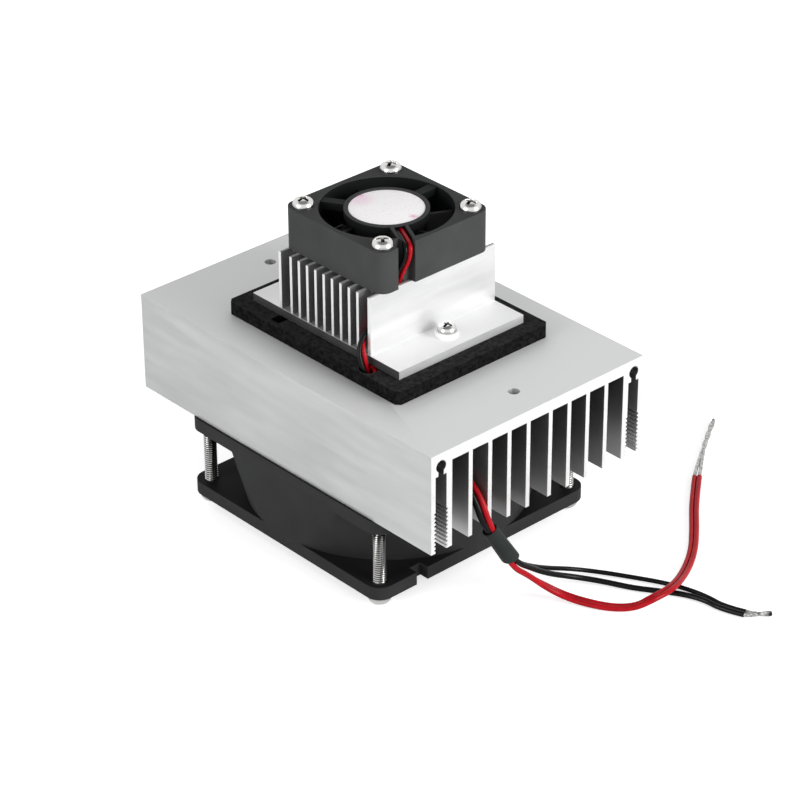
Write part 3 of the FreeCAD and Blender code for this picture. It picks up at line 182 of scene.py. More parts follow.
def softened(name, node, material, body, width, flat=0.002, sharp=0.6):
    """A copy of a node's mesh, its flats made whole and its sharp edges rounded to that width."""
    mesh = nodes[node].data.copy()
    mesh.name = name
    mesh.materials.clear()
    work = bmesh.new()
    work.from_mesh(mesh)
    bmesh.ops.remove_doubles(work, verts=work.verts, dist=1e-6)
    bmesh.ops.dissolve_limit(work, angle_limit=flat, verts=work.verts, edges=work.edges)
    work.to_mesh(mesh)
    work.free()
    mesh.shade_smooth()
    mesh.set_sharp_from_angle(angle=sharp)
    item = piece(name, mesh, material, body, node)
    edges = item.modifiers.new("soft_edges", "BEVEL")
    edges.width = width
    edges.segments = 2
    edges.limit_method = "ANGLE"
    edges.angle_limit = sharp
    edges.harden_normals = True
    return item


# Distances from the middle to the outermost channels' far side and to the first of the
# channels with full painted light, and the thickness of the slab that the fins stand on
HOT_EDGE, HOT_OUTER, SLAB = 0.0386, 0.026, 0.0035
hot_low, hot_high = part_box("hot_heatsink")
# Its top and end colours are painted light, and its channel and bright colours painted shade and painted
# light in the fin channels.
hot_aluminium = extruded_aluminium("hot_aluminium", 1, HOT_EDGE, HOT_OUTER, hot_high.z - SLAB, hot_low.z,
                                   side=(0.59, 0.595, 0.595), channel=(0.15, 0.15, 0.153),
                                   bright=(0.8, 0.8, 0.8), top=(0.72, 0.725, 0.725),
                                   end=(0.84, 0.84, 0.84), base_end=(0.84, 0.84, 0.84))
softened("lower_heatsink", "hot_heatsink", hot_aluminium, "module", 0.0001)

# Large fan: a moulded glass-filled plastic frame of two flanges and a flared duct, with the
# motor on a disc between four struts. Moulding leaves it matte with a very fine grain,
# and the rotor inside is moulded in the same plastic, a little smoother.


def moulded_plastic(name, color, roughness, grain_size, depth, shine=0.05, level=1.0):
    """Plastic with a fine moulded grain and a faint unevenness in its shine.

    Faces that look up or down have the colour times the level, painted shade where the level is below 1.
    """
    material, tree, shader, place = finish(name, color, roughness, Specular_IOR_Level=shine)
    clouds = grain(tree, place, [0.012] * 3, 2)
    shade = blend_colors(tree, facing(tree, 2), mottled(tree, clouds, color, 0.88, 1.12),
                         [level * c for c in color])
    connect(tree, shader, Base_Color=shade,
            Roughness=between(tree, clouds, roughness - 0.05, roughness + 0.05))
    relief(tree, shader, grain(tree, place, [grain_size] * 3, 2), depth, 0.5)
    return material


# The level 0.4 is painted shade on the frame's faces that look up or down.
frame_plastic = moulded_plastic("frame_plastic", (0.03, 0.03, 0.031), 0.5, 0.00025, 0.00002, level=0.4)
rotor_plastic = moulded_plastic("rotor_plastic", (0.016, 0.016, 0.017), 0.36, 0.0005, 0.00001)
softened("large_fan_frame", "hot_fan_frame", frame_plastic, "module", 0.0002)


def show(node, material):
    """Give a CAD node's object that one material."""
    slots = nodes[node].data.materials
    slots.clear()
    slots.append(material)


show("hot_fan_impeller", rotor_plastic)

# Motors, the same in both fans: a sintered bronze bush, a green circuit board, a core of
# stacked steel sheets with a copper coil round each of its four poles, and round it the
# steel cup, the ring magnet and the ground shaft that turn, held by a nylon clip.


def metal(name, color, roughness, size, depth=0.00001):
    """Bare metal with fine marks of that size along each axis."""
    material, tree, shader, place = finish(name, color, roughness, 1.0)
    marks = grain(tree, place, size, 3)
    connect(tree, shader, Roughness=between(tree, marks, roughness - 0.08, roughness + 0.08))
    relief(tree, shader, marks, depth, 0.4)
    return material


bronze = metal("sintered_bronze", (0.5, 0.36, 0.18), 0.45, (0.0003, 0.0003, 0.0003))
core_steel = metal("core_steel", (0.45, 0.45, 0.46), 0.4, (0.01, 0.01, 0.0004), 0.00003)
copper_wire = metal("copper_wire", (0.66, 0.3, 0.15), 0.35, (0.0003, 0.0003, 0.003), 0.00004)
shaft_steel = metal("shaft_steel", (0.62, 0.62, 0.63), 0.22, (0.0004, 0.0004, 0.006))
ferrite = moulded_plastic("ferrite", (0.06, 0.06, 0.062), 0.6, 0.0003, 0.00001)
board_green = moulded_plastic("circuit_board", (0.03, 0.14, 0.06), 0.35, 0.0006, 0.00001, 0.5)
nylon = moulded_plastic("white_nylon", (0.82, 0.82, 0.8), 0.45, 0.0006, 0.00001, 0.5)
for fan in ("hot_fan", "cold_fan"):
    for part, material in (("bush", bronze), ("board", board_green), ("core", core_steel),
                           ("coils", copper_wire), ("yoke", core_steel), ("magnet", ferrite),
                           ("shaft", shaft_steel), ("shaft_clip", nylon)):
        show(f"{fan}_{part}", material)

# Label of the large fan: a plain paper disc stuck into the recess of the motor's disc.
# It is bare but for faint pink stains where the paper has taken up some dye.


def grid_mesh(name, grids, sharp=0.6):
    """One mesh from grids of points [row, column, xyz], each with whether it is closed.

    Each cell of a grid is one face, and its last column joins its first. The last row of a
    closed grid joins its first too. Any other grid has triangles from its first and its
    last row to the row's middle.
    """
    points, faces, start = [], [], 0
    for grid, closed in grids:
        rows, columns = grid.shape[:2]
        index = start + np.arange(rows * columns).reshape(rows, columns)
        if closed:
            index = np.vstack([index, index[:1]])
        ahead = np.roll(index, -1, axis=1)
        cells = np.stack([index[:-1], ahead[:-1], ahead[1:], index[1:]], axis=-1)
        faces += cells.reshape(-1, 4).tolist()
        points.append(grid.reshape(-1, 3))
        start += rows * columns
        if not closed:
            for row, first, second in ((0, ahead[0], index[0]), (-1, index[-1], ahead[-1])):
                points.append(grid[row].mean(axis=0, keepdims=True))
                faces += np.stack([np.full(columns, start), first, second], axis=-1).tolist()
                start += 1
    mesh = bpy.data.meshes.new(name)
    mesh.from_pydata(np.vstack(points).tolist(), [], faces)
    work = bmesh.new()
    work.from_mesh(mesh)
    bmesh.ops.remove_doubles(work, verts=work.verts, dist=1e-7)
    bmesh.ops.dissolve_degenerate(work, edges=work.edges, dist=1e-7)
    bmesh.ops.recalc_face_normals(work, faces=work.faces)
    work.to_mesh(mesh)
    work.free()
    mesh.shade_smooth()
    mesh.set_sharp_from_angle(angle=sharp)
    return mesh


def middle_and_size(node):
    """The middle of a node's box and its size along each axis."""
    low, high = (np.array(corner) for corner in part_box(node))
    return (low + high) / 2, high - low


def round_angles(count):
    """That many angles, evenly round a full turn."""
    return np.linspace(0, 2 * np.pi, count, endpoint=False)


def turned(outline, middle, count):
    """A grid of the outline (distance from the axis, height) turned round an upright axis."""
    angle = round_angles(count)
    away, height = (outline[:, i, None] for i in (0, 1))
    return np.stack([middle[0] + away * np.cos(angle), middle[1] + away * np.sin(angle),
                     middle[2] + height + 0 * angle], axis=-1)


def label_disc(name, node, material):
    """A thin disc with a rounded edge: a half circle of its thickness carried round its rim."""
    rows, columns = 9, 96
    middle, size = middle_and_size(node)
    half = size[2] / 2
    sweep = np.linspace(-np.pi / 2, np.pi / 2, rows)
    edge = np.stack([size[0] / 2 - half + half * np.cos(sweep), half * np.sin(sweep)], axis=-1)
    mesh = grid_mesh(name, [(turned(edge, middle, columns), False)])
    return piece(name, mesh, material, "module", node)


def flattened(tree, place):
    """The place with its height set to 0."""
    return add(tree, "Mapping", {"Vector": place, "Scale": (1, 1, 0)}).outputs[0]


def distance(tree, first, second):
    """The distance between two points, each a value or a socket."""
    return add(tree, "VectorMath", {0: first, 1: second}, operation="DISTANCE").outputs["Value"]


def label_paper():
    """White paper with fine pink specks and pink stains: a place, a reach and a colour for each.

    A stain's colour is full inside half of its reach and gone past 1.1 times its reach,
    and the specks make its border ragged.
    """
    stains = (((-0.0022, 0.0088, 0), 0.0062, (0.93, 0.76, 0.85)),
              ((-0.0005, 0.0102, 0), 0.0026, (0.85, 0.42, 0.63)),
              ((0.0017, -0.0088, 0), 0.0028, (0.86, 0.42, 0.62)))
    material, tree, shader, place = finish("label_paper", (0.97, 0.96, 0.96), 0.45)
    specks = grain(tree, place, [0.0005] * 3, 2)
    color = blend_colors(tree, between(tree, specks, 0, 1, 0.52, 0.72),
                         (0.98, 0.975, 0.975), (0.93, 0.84, 0.87))
    flat = flattened(tree, place)
    ragged = reckon(tree, "MULTIPLY", specks, 0.003)
    for stain, reach, pink in stains:
        blurred = reckon(tree, "ADD", distance(tree, flat, stain), ragged)
        color = blend_colors(tree, between(tree, blurred, 0, 1, 0.5 * reach, 1.1 * reach), pink, color)
    connect(tree, shader, Base_Color=color)
    relief(tree, shader, specks, 0.00001, 0.3)
    return material


paper = label_paper()
label_disc("hot_fan_label_disc", "hot_fan_label", paper)

# Screws of the large fan: four nickel-plated machine screws, threaded along their whole
# length, with pan heads and cross recesses. They come up through both flanges and cut
# into the heatsink's slots.
CROWN_POWER, RIM_POWER = 3, 2.2
RECESS_SHARE, THREAD_SHARE, SEAT_SHARE = 0.7, 0.6, 0.5
# Painted shade: a contact shadow painted by the heads' seats, and shade painted on heads that stand on
# the table.
SEAT_SHADOW, TABLE_SHADE = 0.5, 0.55


def pan_head(spot, seat, way, sizes, turn):
    """A pan head as a grid over rim to middle and angle, facing up (way 1) or down (way -1).

    Its outline is (r / R)^3 + (z / H)^2.2 = 1, in even steps of height up to half of it and
    then in even steps inwards. Two crossed arms are taken out of it: an arm has its full
    depth near the middle, shallows towards its length and has steep sides.
    """
    rim_rows, crown_rows, columns = 7, 60, 160
    radius, height = sizes["head"] / 2, sizes["head_height"]
    side = np.linspace(0, 0.5, rim_rows)
    rim = radius * (1 - side ** RIM_POWER) ** (1 / CROWN_POWER)
    inward = np.linspace(rim[-1], 0.02 * radius, crown_rows)[1:]
    crown = (1 - (inward / radius) ** CROWN_POWER) ** (1 / RIM_POWER)
    away = np.concatenate([rim, inward])[:, None]
    rise = np.concatenate([side, crown])[:, None] * height
    angle = round_angles(columns)[None, :]
    along, across = away * np.cos(angle - turn), away * np.sin(angle - turn)
    arm_half, arm_length, arm_depth = 0.13 * radius, 0.62 * radius, RECESS_SHARE * height
    arm_edge, wall, slope = 1.2 * arm_half, 0.3 * arm_half, 0.4 * arm_length
    recess = np.zeros_like(along)
    for a, b in ((along, across), (across, along)):
        steep = np.clip((arm_edge - np.abs(b)) / wall, 0, 1)
        shallow = np.clip((arm_length - np.abs(a)) / slope, 0, 1)
        recess = np.maximum(recess, arm_depth * steep * shallow)
    rise = np.broadcast_to(rise, recess.shape) - recess
    return np.stack([spot[0] + away * np.cos(angle), spot[1] + away * np.sin(angle),
                     seat + way * rise], axis=-1)


def threaded_shank(spot, start, end, sizes):
    """A screw's thread as a grid over length and angle.

    The radius falls from the crest by the depth times |2 t - 1|, where t is the part of a
    turn that the height has gone through, less the angle's share of a turn.
    """
    rows_a_turn, columns = 8, 32
    pitch = sizes["pitch"]
    height = np.linspace(start, end, int(abs(end - start) / pitch * rows_a_turn))[:, None]
    angle = round_angles(columns)[None, :]
    phase = (height / pitch - angle / (2 * np.pi)) % 1
    away = sizes["shank"] / 2 - THREAD_SHARE * pitch * np.abs(2 * phase - 1)
    return np.stack([spot[0] + away * np.cos(angle), spot[1] + away * np.sin(angle),
                     height + 0 * angle], axis=-1)


def mark_painted_shade(mesh, spots, seat, way, sizes):
    """Store painted shade for each point, from 0 to 1, as the mesh's attribute "hollow".

    In a head it is the height that lacks to the outline, over the recess's depth, painted
    shade in the recess, or by the seat up to half of 1, less further up, a painted contact
    shadow. A head that stands on the table gets painted shade too, by the square of its
    share of the height. In a shank it is the radius that lacks to the crest, over the
    thread's depth, painted shade in the thread's roots.
    """
    height = sizes["head_height"]
    points = np.empty(len(mesh.vertices) * 3)
    mesh.vertices.foreach_get("co", points)
    points = points.reshape(-1, 3)
    away = np.linalg.norm(points[:, None, :2] - np.array(spots), axis=2).min(axis=1)
    rise = way * (points[:, 2] - seat)
    crown = np.clip(1 - (2 * away / sizes["head"]) ** CROWN_POWER, 0, 1) ** (1 / RIM_POWER)
    in_recess = (height * crown - rise) / (RECESS_SHARE * height)
    by_seat = SEAT_SHADOW * (1 - rise / (SEAT_SHARE * height))
    in_head = np.maximum(in_recess, by_seat)
    if way < 0:
        in_head = np.maximum(in_head, TABLE_SHADE * (rise / height) ** 2)
    in_shank = (sizes["shank"] / 2 - away) / (THREAD_SHARE * sizes["pitch"])
    painted_shade = np.clip(np.where(rise > 0, in_head, in_shank), 0, 1)
    mesh.attributes.new("painted_shade", "FLOAT", "POINT").data.foreach_set("value", painted_shade)


def screw_set(name, node, spots, seat, way, sizes, turns, material):
    """A set of like screws in one mesh, from their heads' seat to the end of the node's box."""
    low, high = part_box(node)
    far = low.z if way > 0 else high.z
    grids = []
    for spot, turn in zip(spots, turns):
        grids.append((pan_head(spot, seat, way, sizes, turn), False))
        grids.append((threaded_shank(spot, seat, far, sizes), False))
    mesh = grid_mesh(name, grids)
    mark_painted_shade(mesh, spots, seat, way, sizes)
    return piece(name, mesh, material, "module", node)


def corner_spots(node, head):
    """The middles of four screws, a head's half in from the corners of the box round them."""
    half = (middle_and_size(node)[1][0] - head) / 2
    return [(sx * half, sy * half) for sx, sy in ((1, 1), (-1, 1), (-1, -1), (1, -1))]


def plated_steel():
    """Bright nickel plate with faint turning marks, near black with painted shade in recesses, thread
    roots, by heads' seats and on heads that stand on the table.
    """
    plate, painted_shade_color = (0.72, 0.715, 0.7), (0.035, 0.035, 0.034)
    material, tree, shader, place = finish("plated_steel", plate, 0.14, 1.0)
    marks = grain(tree, place, (0.0015, 0.0015, 0.0002), 2)
    painted_shade = add(tree, "Attribute", attribute_name="painted_shade").outputs["Fac"]
    # Recesses, thread roots, heads' seats and heads on the table get near-black painted shade.
    connect(tree, shader, Roughness=between(tree, marks, 0.1, 0.24),
            Base_Color=blend_colors(tree, between(tree, painted_shade, 0, 1, 0.1, 0.75), plate, painted_shade_color))
    return material


nickel = plated_steel()
HOT_SCREW = {"head": 0.007, "head_height": 0.003, "shank": 0.0038, "pitch": 0.0007}
screw_set("hot_fan_machine_screws", "hot_fan_screws", corner_spots("hot_fan_screws", HOT_SCREW["head"]),
          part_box("hot_fan_frame")[0].z, -1, HOT_SCREW, (0.4, 1.1, 0.2, 0.8), nickel)

# Foam gasket: a die-cut frame of black closed-cell foam that keeps damp air off the
# module. It is squeezed flat between the heatsinks, its cut edges are slightly round,
# and holes are punched in it for the leads and the clamp screws.


def closed_cell_foam():
    """Black foam: small round cells in uneven patches, blacker on its cut edges than on its skin, a
    painted shade.
    """
    material, tree, shader, place = finish("closed_cell_foam", (0.01, 0.01, 0.01), 0.95,
                                           Specular_IOR_Level=0.0)
    cells = add(tree, "TexVoronoi", {"Vector": place, "Scale": 2600.0}).outputs["Distance"]
    patches = grain(tree, place, [0.0012] * 3, 4)
    mix = between(tree, patches, 0, 1)
    skin = blend_colors(tree, mix, (0.014, 0.014, 0.014), (0.034, 0.034, 0.034))
    cut = blend_colors(tree, mix, (0.004, 0.004, 0.004), (0.016, 0.016, 0.016))
    # The cut edges' darker colour is painted shade, and the top and bottom are lighter.
    connect(tree, shader, Base_Color=blend_colors(tree, facing(tree, 2), cut, skin))
    relief(tree, shader, reckon(tree, "ADD", cells, patches), 0.00008, 0.8)
    return material


foam = softened("foam_frame", "foam_gasket", closed_cell_foam(), "module", 0.0003)

# Thermoelectric module: bismuth telluride legs soldered to copper tabs between two white
# ceramic plates, with a bead of silicone round the edge. It is sunk in the foam, so only
# its leads show.
ceramic = moulded_plastic("alumina_ceramic", (0.8, 0.8, 0.78), 0.4, 0.0003, 0.00001, 0.5)
silicone = moulded_plastic("silicone_seal", (0.78, 0.78, 0.75), 0.5, 0.0008, 0.00002)
telluride = metal("bismuth_telluride", (0.3, 0.3, 0.32), 0.5, (0.0004, 0.0004, 0.0004))
for part, material in (("hot_plate", ceramic), ("cold_plate", ceramic), ("seal", silicone),
                       ("legs", telluride), ("tabs", copper_wire)):
    show(f"module_{part}", material)

# Upper heatsink: an aluminium extrusion like the lower one, cut across its fins, with a
# flange at each end. Its fins run the other way, between two taller walls.
COLD_EDGE, COLD_OUTER, COLD_BASE = 0.0182, 0, 0.0025
cold_low, cold_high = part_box("cold_heatsink")
# Its top and end colours are painted light, its channel and bright colours painted shade and light in
# the fin channels, and its base's end colour a dark painted shade on the sawn ends of its base.
cold_aluminium = extruded_aluminium("cold_aluminium", 0, COLD_EDGE, COLD_OUTER,
                                    cold_low.z + COLD_BASE, cold_high.z,
                                    side=(0.76, 0.76, 0.765), channel=(0.3, 0.3, 0.303),
                                    bright=(0.4, 0.4, 0.403), top=(0.84, 0.84, 0.84),
                                    end=(0.9, 0.9, 0.9), base_end=(0.1, 0.1, 0.1))
softened("upper_heatsink", "cold_heatsink", cold_aluminium, "module", 0.0001)

# Clamp screws: two pan-head screws that pull the upper heatsink down on the module, each
# on a white nylon washer that keeps its head from carrying heat.
show("clamp_washers", nylon)
CLAMP_SCREW = {"head": 0.0054, "head_height": 0.0019, "shank": 0.0028, "pitch": 0.0005}
clamp_y = (middle_and_size("clamp_screws")[1][1] - CLAMP_SCREW["head"]) / 2
screw_set("clamp_machine_screws", "clamp_screws", [(0, -clamp_y), (0, clamp_y)],
          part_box("clamp_washers")[1].z, 1, CLAMP_SCREW, (0.3, 0.9), nickel)

# Small fan: a closed square frame of the same moulded plastic, its motor's disc on two
# struts and a channel that the leads lie in. Four pan-head screws hold it to the fins.
DUCT_RADIUS, DUCT_LIP = 0.0188, 0.0003


def small_frame_plastic():
    """Moulded plastic with painted shade inside the duct, a cylinder below the frame's top face."""
    # The level 0.75 is painted shade on faces that look up or down.
    material = moulded_plastic("small_frame_plastic", (0.055, 0.056, 0.056), 0.5, 0.0002,
                               0.000015, level=0.75)
    tree = material.node_tree
    color = tree.nodes["Principled BSDF"].inputs["Base Color"]
    shade = color.links[0].from_socket
    place = add(tree, "TexCoord").outputs["Object"]
    away = distance(tree, flattened(tree, place), (0, 0, 0))
    height = add(tree, "SeparateXYZ", {"Vector": place}).outputs[2]
    inside = reckon(tree, "LESS_THAN", away, DUCT_RADIUS)
    below = reckon(tree, "LESS_THAN", height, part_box("cold_fan_frame")[1].z - DUCT_LIP)
    duct_shade = reckon(tree, "MULTIPLY", inside, below)
    # Inside the duct the colour is near black, painted shade.
    tree.links.new(blend_colors(tree, duct_shade, shade, (0.012, 0.013, 0.013)), color)
    return material


softened("small_fan_frame", "cold_fan_frame", small_frame_plastic(), "module", 0.0002)
show("cold_fan_impeller", rotor_plastic)
label_disc("cold_fan_label_disc", "cold_fan_label", paper)
COLD_SCREW = {"head": 0.0062, "head_height": 0.0022, "shank": 0.003, "pitch": 0.0005}
screw_set("cold_fan_machine_screws", "cold_fan_screws",
          corner_spots("cold_fan_screws", COLD_SCREW["head"]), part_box("cold_fan_frame")[1].z, 1,
          COLD_SCREW, (0.5, 0.1, 0.9, 0.35), nickel)

# Leads: stranded copper in glossy PVC, one red and one black from the small fan's motor
# and one red and one black from the module. They come out at one corner of the upper
# heatsink, go down through the slab's hole and out between two fins, and lie on the table.
FAN_LEAD, MODULE_LEAD = 0.0013, 0.0016
MILLIMETRE = 0.001  # of the routes, which go from a lead's start to its bare end
LEAD_ROUTES = {
    "cold_fan_red_lead": [
        (-3.2, -8.1, 93.0), (-5.1, -12.0, 93.0), (-6.9, -15.7, 93.1), (-8.75, -19.1, 93.1),
        (-9.5, -19.4, 89.2), (-11.0, -18.4, 85.7), (-11.1, -16.8, 81.8), (-12.4, -15.3, 77.6),
        (-17.3, -15.2, 72.6), (-21.6, -15.2, 69.4), (-24.2, -16.7, 67.9), (-25.0, -18.4, 65.6),
        (-24.8, -19.1, 61.6), (-23.8, -18.9, 57.2), (-22.6, -19.2, 52.9), (-22.1, -22.2, 49.2),
        (-21.7, -28.1, 46.1), (-21.2, -35.7, 44.0), (-20.7, -44.7, 42.6), (-20.3, -52.6, 40.5),
        (-20.1, -58.3, 36.6), (-19.6, -60.7, 30.1), (-14.2, -63.6, 16.1), (-8.7, -64.2, 10.6),
        (-2.9, -65.2, 5.4), (2.3, -69.5, 1.4), (5.3, -76.4, 1.0), (8.5, -81.8, 0.9),
        (12.2, -86.1, 1.7), (14.8, -88.7, 4.4), (22.1, -88.9, 4.4), (33.5, -83.1, 1.5),
        (43.3, -77.0, 0.9), (52.0, -69.3, 0.9), (61.8, -59.9, 0.9), (72.9, -50.9, 0.9),
    ],
    "cold_fan_black_lead": [
        (-4.5, -7.5, 93.0), (-6.4, -11.4, 93.0), (-8.2, -15.1, 93.1), (-10.2, -18.8, 93.1),
        (-10.9, -19.0, 89.2), (-12.6, -17.8, 85.7), (-12.9, -16.8, 81.8), (-13.1, -16.8, 77.9),
        (-15.2, -16.7, 74.2), (-18.8, -16.8, 72.0), (-23.0, -16.5, 70.9), (-26.2, -17.0, 67.0),
        (-26.5, -19.5, 61.8), (-24.5, -20.5, 57.1), (-23.5, -20.6, 53.4), (-23.1, -23.1, 50.3),
        (-22.8, -28.6, 47.3), (-22.6, -36.0, 45.0), (-22.4, -44.9, 43.1), (-22.0, -52.6, 40.4),
        (-21.4, -57.6, 36.1), (-20.8, -60.1, 29.2), (-13.0, -64.2, 17.0), (-7.4, -62.8, 12.2),
        (1.2, -61.9, 6.9), (10.8, -63.3, 3.0), (17.9, -68.3, 1.0), (22.2, -75.3, 0.9),
        (26.1, -82.2, 0.9), (28.9, -89.2, 0.9), (30.2, -95.8, 0.9), (30.1, -101.8, 0.9),
        (32.5, -107.5, 0.9),
    ],
    "module_red_lead": [
        (-20.0, -16.6, 60.7), (-21.2, -16.6, 60.7), (-22.0, -17.5, 60.75), (-22.2, -19.0, 60.7),
        (-22.6, -20.3, 59.8), (-22.9, -20.6, 57.2), (-22.2, -21.6, 53.9), (-21.9, -23.7, 51.2),
        (-20.4, -28.4, 47.1), (-20.2, -36.0, 45.4), (-20.2, -45.1, 44.1), (-20.4, -53.4, 42.0),
        (-20.6, -59.4, 37.5), (-20.2, -62.3, 30.2), (-14.9, -65.2, 16.2), (-8.8, -65.8, 10.9),
        (-3.7, -66.8, 5.4), (1.0, -70.4, 1.4), (3.8, -77.1, 1.0), (7.3, -82.6, 0.9),
        (11.1, -87.0, 1.7), (14.5, -90.2, 4.4), (22.4, -90.3, 4.4), (34.1, -84.4, 1.5),
        (44.1, -78.1, 0.9), (52.9, -70.4, 0.9), (62.7, -61.0, 0.9), (73.8, -52.0, 0.9),
    ],
    "module_black_lead": [
        (-20.0, 16.0, 59.8), (-21.2, 16.0, 59.8), (-22.0, 15.1, 59.7), (-22.0, 13.4, 59.5),
        (-21.6, 10.2, 59.3), (-21.7, 4.6, 59.0), (-21.4, -3.4, 58.9), (-21.7, -10.6, 58.9),
        (-21.7, -15.0, 58.9), (-21.9, -18.5, 58.7), (-21.4, -19.6, 54.6), (-20.7, -22.5, 50.3),
        (-21.5, -28.9, 48.3), (-21.6, -36.3, 46.4), (-21.9, -45.3, 44.6), (-22.1, -53.4, 41.9),
        (-22.1, -58.9, 37.0), (-21.5, -61.7, 29.3), (-13.5, -65.8, 17.2), (-7.3, -64.4, 12.2),
        (0.4, -63.9, 6.4), (8.8, -66.1, 2.6), (14.7, -71.4, 1.0), (18.2, -78.6, 0.9),
        (22.7, -85.0, 0.9), (26.5, -90.6, 0.9), (28.5, -96.2, 0.9), (28.6, -102.2, 0.9),
        (31.1, -108.1, 0.9),
    ],
}


def insulation(name, color, shine):
    """Glossy PVC over strands: faint waves along the lead and a slightly uneven shine."""
    material, tree, shader, place = finish(name, color, shine, Specular_IOR_Level=0.12,
                                           Coat_Weight=0.03, Coat_Roughness=0.1)
    waves = grain(tree, place, [0.003] * 3, 2)
    connect(tree, shader, Base_Color=mottled(tree, waves, color, 0.85, 1.1))
    relief(tree, shader, waves, 0.00006, 0.4)
    return material


def nurbs_line(name, route):
    """A curve of one open spline that leans on the route's points, given in metres."""
    curve = bpy.data.curves.new(name, "CURVE")
    curve.dimensions = "3D"
    line = curve.splines.new("NURBS")
    line.points.add(len(route) - 1)
    for point, place in zip(line.points, route):
        point.co = (*place, 1)
    line.order_u = 3
    line.use_endpoint_u = True
    line.resolution_u = 8
    return curve


def lead(name, width, material):
    """A lead as one smooth line along its route, with a round section."""
    curve = nurbs_line(name, [[MILLIMETRE * v for v in place] for place in LEAD_ROUTES[name]])
    curve.bevel_depth = width / 2
    curve.bevel_resolution = 6
    curve.use_fill_caps = True
    return piece(name + "_wire", curve, material, "module", name)


red_pvc = insulation("red_insulation", (0.4, 0.004, 0.01), 0.26)
black_pvc = insulation("black_insulation", (0.004, 0.0045, 0.0042), 0.25)
red_fan_lead = lead("cold_fan_red_lead", FAN_LEAD, red_pvc)
black_fan_lead = lead("cold_fan_black_lead", FAN_LEAD, black_pvc)
red_module_lead = lead("module_red_lead", MODULE_LEAD, red_pvc)
black_module_lead = lead("module_black_lead", MODULE_LEAD, black_pvc)

# Sleeve: a short length of black heat-shrink tube round the four leads, where they come
# down from the fins. It has shrunk on to them, tighter at the top, and its lower end is
# cut aslant.
SLEEVE_LENGTH, SLEEVE_WALL = 0.0115, 0.00025
SLEEVE_TOP, SLEEVE_FOOT = 0.0019, 0.0022
SLEEVE_SLANT, SLANT_ANGLE = 0.0007, 1.2
SLEEVE_ROWS, SLEEVE_COLUMNS, SOFTNESS = 24, 48, 12


def spline_points(curve):
    """The points of a curve's middle line, without its round section."""
    bare = curve.copy()
    bare.bevel_depth = 0
    line = bpy.data.objects.new("line", bare)
    mesh = bpy.data.meshes.new_from_object(line)
    points = np.empty(len(mesh.vertices) * 3)
    mesh.vertices.foreach_get("co", points)
    bpy.data.objects.remove(line)
    bpy.data.meshes.remove(mesh)
    bpy.data.curves.remove(bare)
    return points.reshape(-1, 3)


def across_and_up(ahead):
    """For each direction ahead, the level one at right angles to it and the one across both."""
    across = np.cross(ahead, (0, 0, 1))
    across = across / np.linalg.norm(across, axis=-1, keepdims=True)
    return across, np.cross(across, ahead)


def round_about(middle, reach, angle, across, up):
    """Points at a reach from the middle: its cosine share across and its sine share up."""
    return (middle + (reach * np.cos(angle))[..., None] * across
            + (reach * np.sin(angle))[..., None] * up)


def sleeve_grid(leads):
    """A closed wall as a grid round its section and round its axis.

    The axis is the mean of the leads' lines. At each place along it, a lead reaches as far
    in a direction as its middle does, plus its radius. The wall's inside is the twelfth
    root of the sum of the twelfth powers of the four reaches and of the tube's own radius,
    which grows from top to foot: a soft maximum. The foot's length runs with the cosine of
    the angle, so that it is cut aslant.
    """
    lines = [(spline_points(item.data), item.data.bevel_depth) for item in leads]
    low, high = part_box("lead_sleeve")
    ends = []
    for height in high.z, low.z:
        places = [[np.interp(-height, -points[:, 2], points[:, i]) for i in (0, 1)]
                  for points, _ in lines]
        ends.append(np.append(np.mean(places, axis=0), height))
    axis = (ends[1] - ends[0]) / np.linalg.norm(ends[1] - ends[0])
    across, up = across_and_up(axis)
    share, angle = np.linspace(0, 1, SLEEVE_ROWS), round_angles(SLEEVE_COLUMNS)
    tube = np.interp(share, (0, 1), (SLEEVE_TOP, SLEEVE_FOOT))[:, None]
    total = tube ** SOFTNESS + 0 * angle
    for points, radius in lines:
        near = points[np.linalg.norm(points - ends[0], axis=1) < 2 * SLEEVE_LENGTH] - ends[0]
        right, above = (np.interp(share * SLEEVE_LENGTH, near @ axis, near @ side)[:, None]
                        for side in (across, up))
        reach = right * np.cos(angle) + above * np.sin(angle) + radius
        total = total + np.clip(reach, 0, None) ** SOFTNESS
    inside = total ** (1 / SOFTNESS)
    skin = np.concatenate([inside + SLEEVE_WALL, inside[::-1]])
    along = share[:, None] * (SLEEVE_LENGTH + SLEEVE_SLANT * np.cos(angle - SLANT_ANGLE))
    along = np.concatenate([along, along[::-1]])
    return round_about(ends[0] + along[..., None] * axis, skin, angle, across, up)


shrink_tube = moulded_plastic("heat_shrink", (0.026, 0.031, 0.029), 0.42, 0.0009, 0.00003)
sleeve_wall = sleeve_grid((red_fan_lead, black_fan_lead, red_module_lead, black_module_lead))
sleeve = piece("heat_shrink_sleeve", grid_mesh("heat_shrink_sleeve", [(sleeve_wall, True)]),
               shrink_tube, "module", "lead_sleeve")

# Bare ends: the strands of each pair of leads, stripped, twisted together by hand and
# dipped in solder, so that they lie as one stiff end on the table, scorched at its tip.
# The points that a pair's line goes to are in millimetres.
BARE_ENDS = {
    "red_tinned_end": [(90.0, -39.3, 0.9), (100.3, -33.1, 0.9)],
    "black_tinned_end": [(35.4, -111.6, 0.9), (37.0, -112.9, 0.9)],
}
BUNDLE, BUNDLE_LAY, BUNDLE_SHARE = 0.0005, 0.011, 0.55
STRANDS, STRAND_LAY, STRAND_RIDGE = 7, 0.004, 0.07
STUB, MERGE_START, MERGE_SHARE = 0.0012, 0.0006, 0.4
TIP, TIP_TAPER = 0.0012, 0.45
BUNDLE_STEP, BUNDLE_COLUMNS = 0.00012, 42


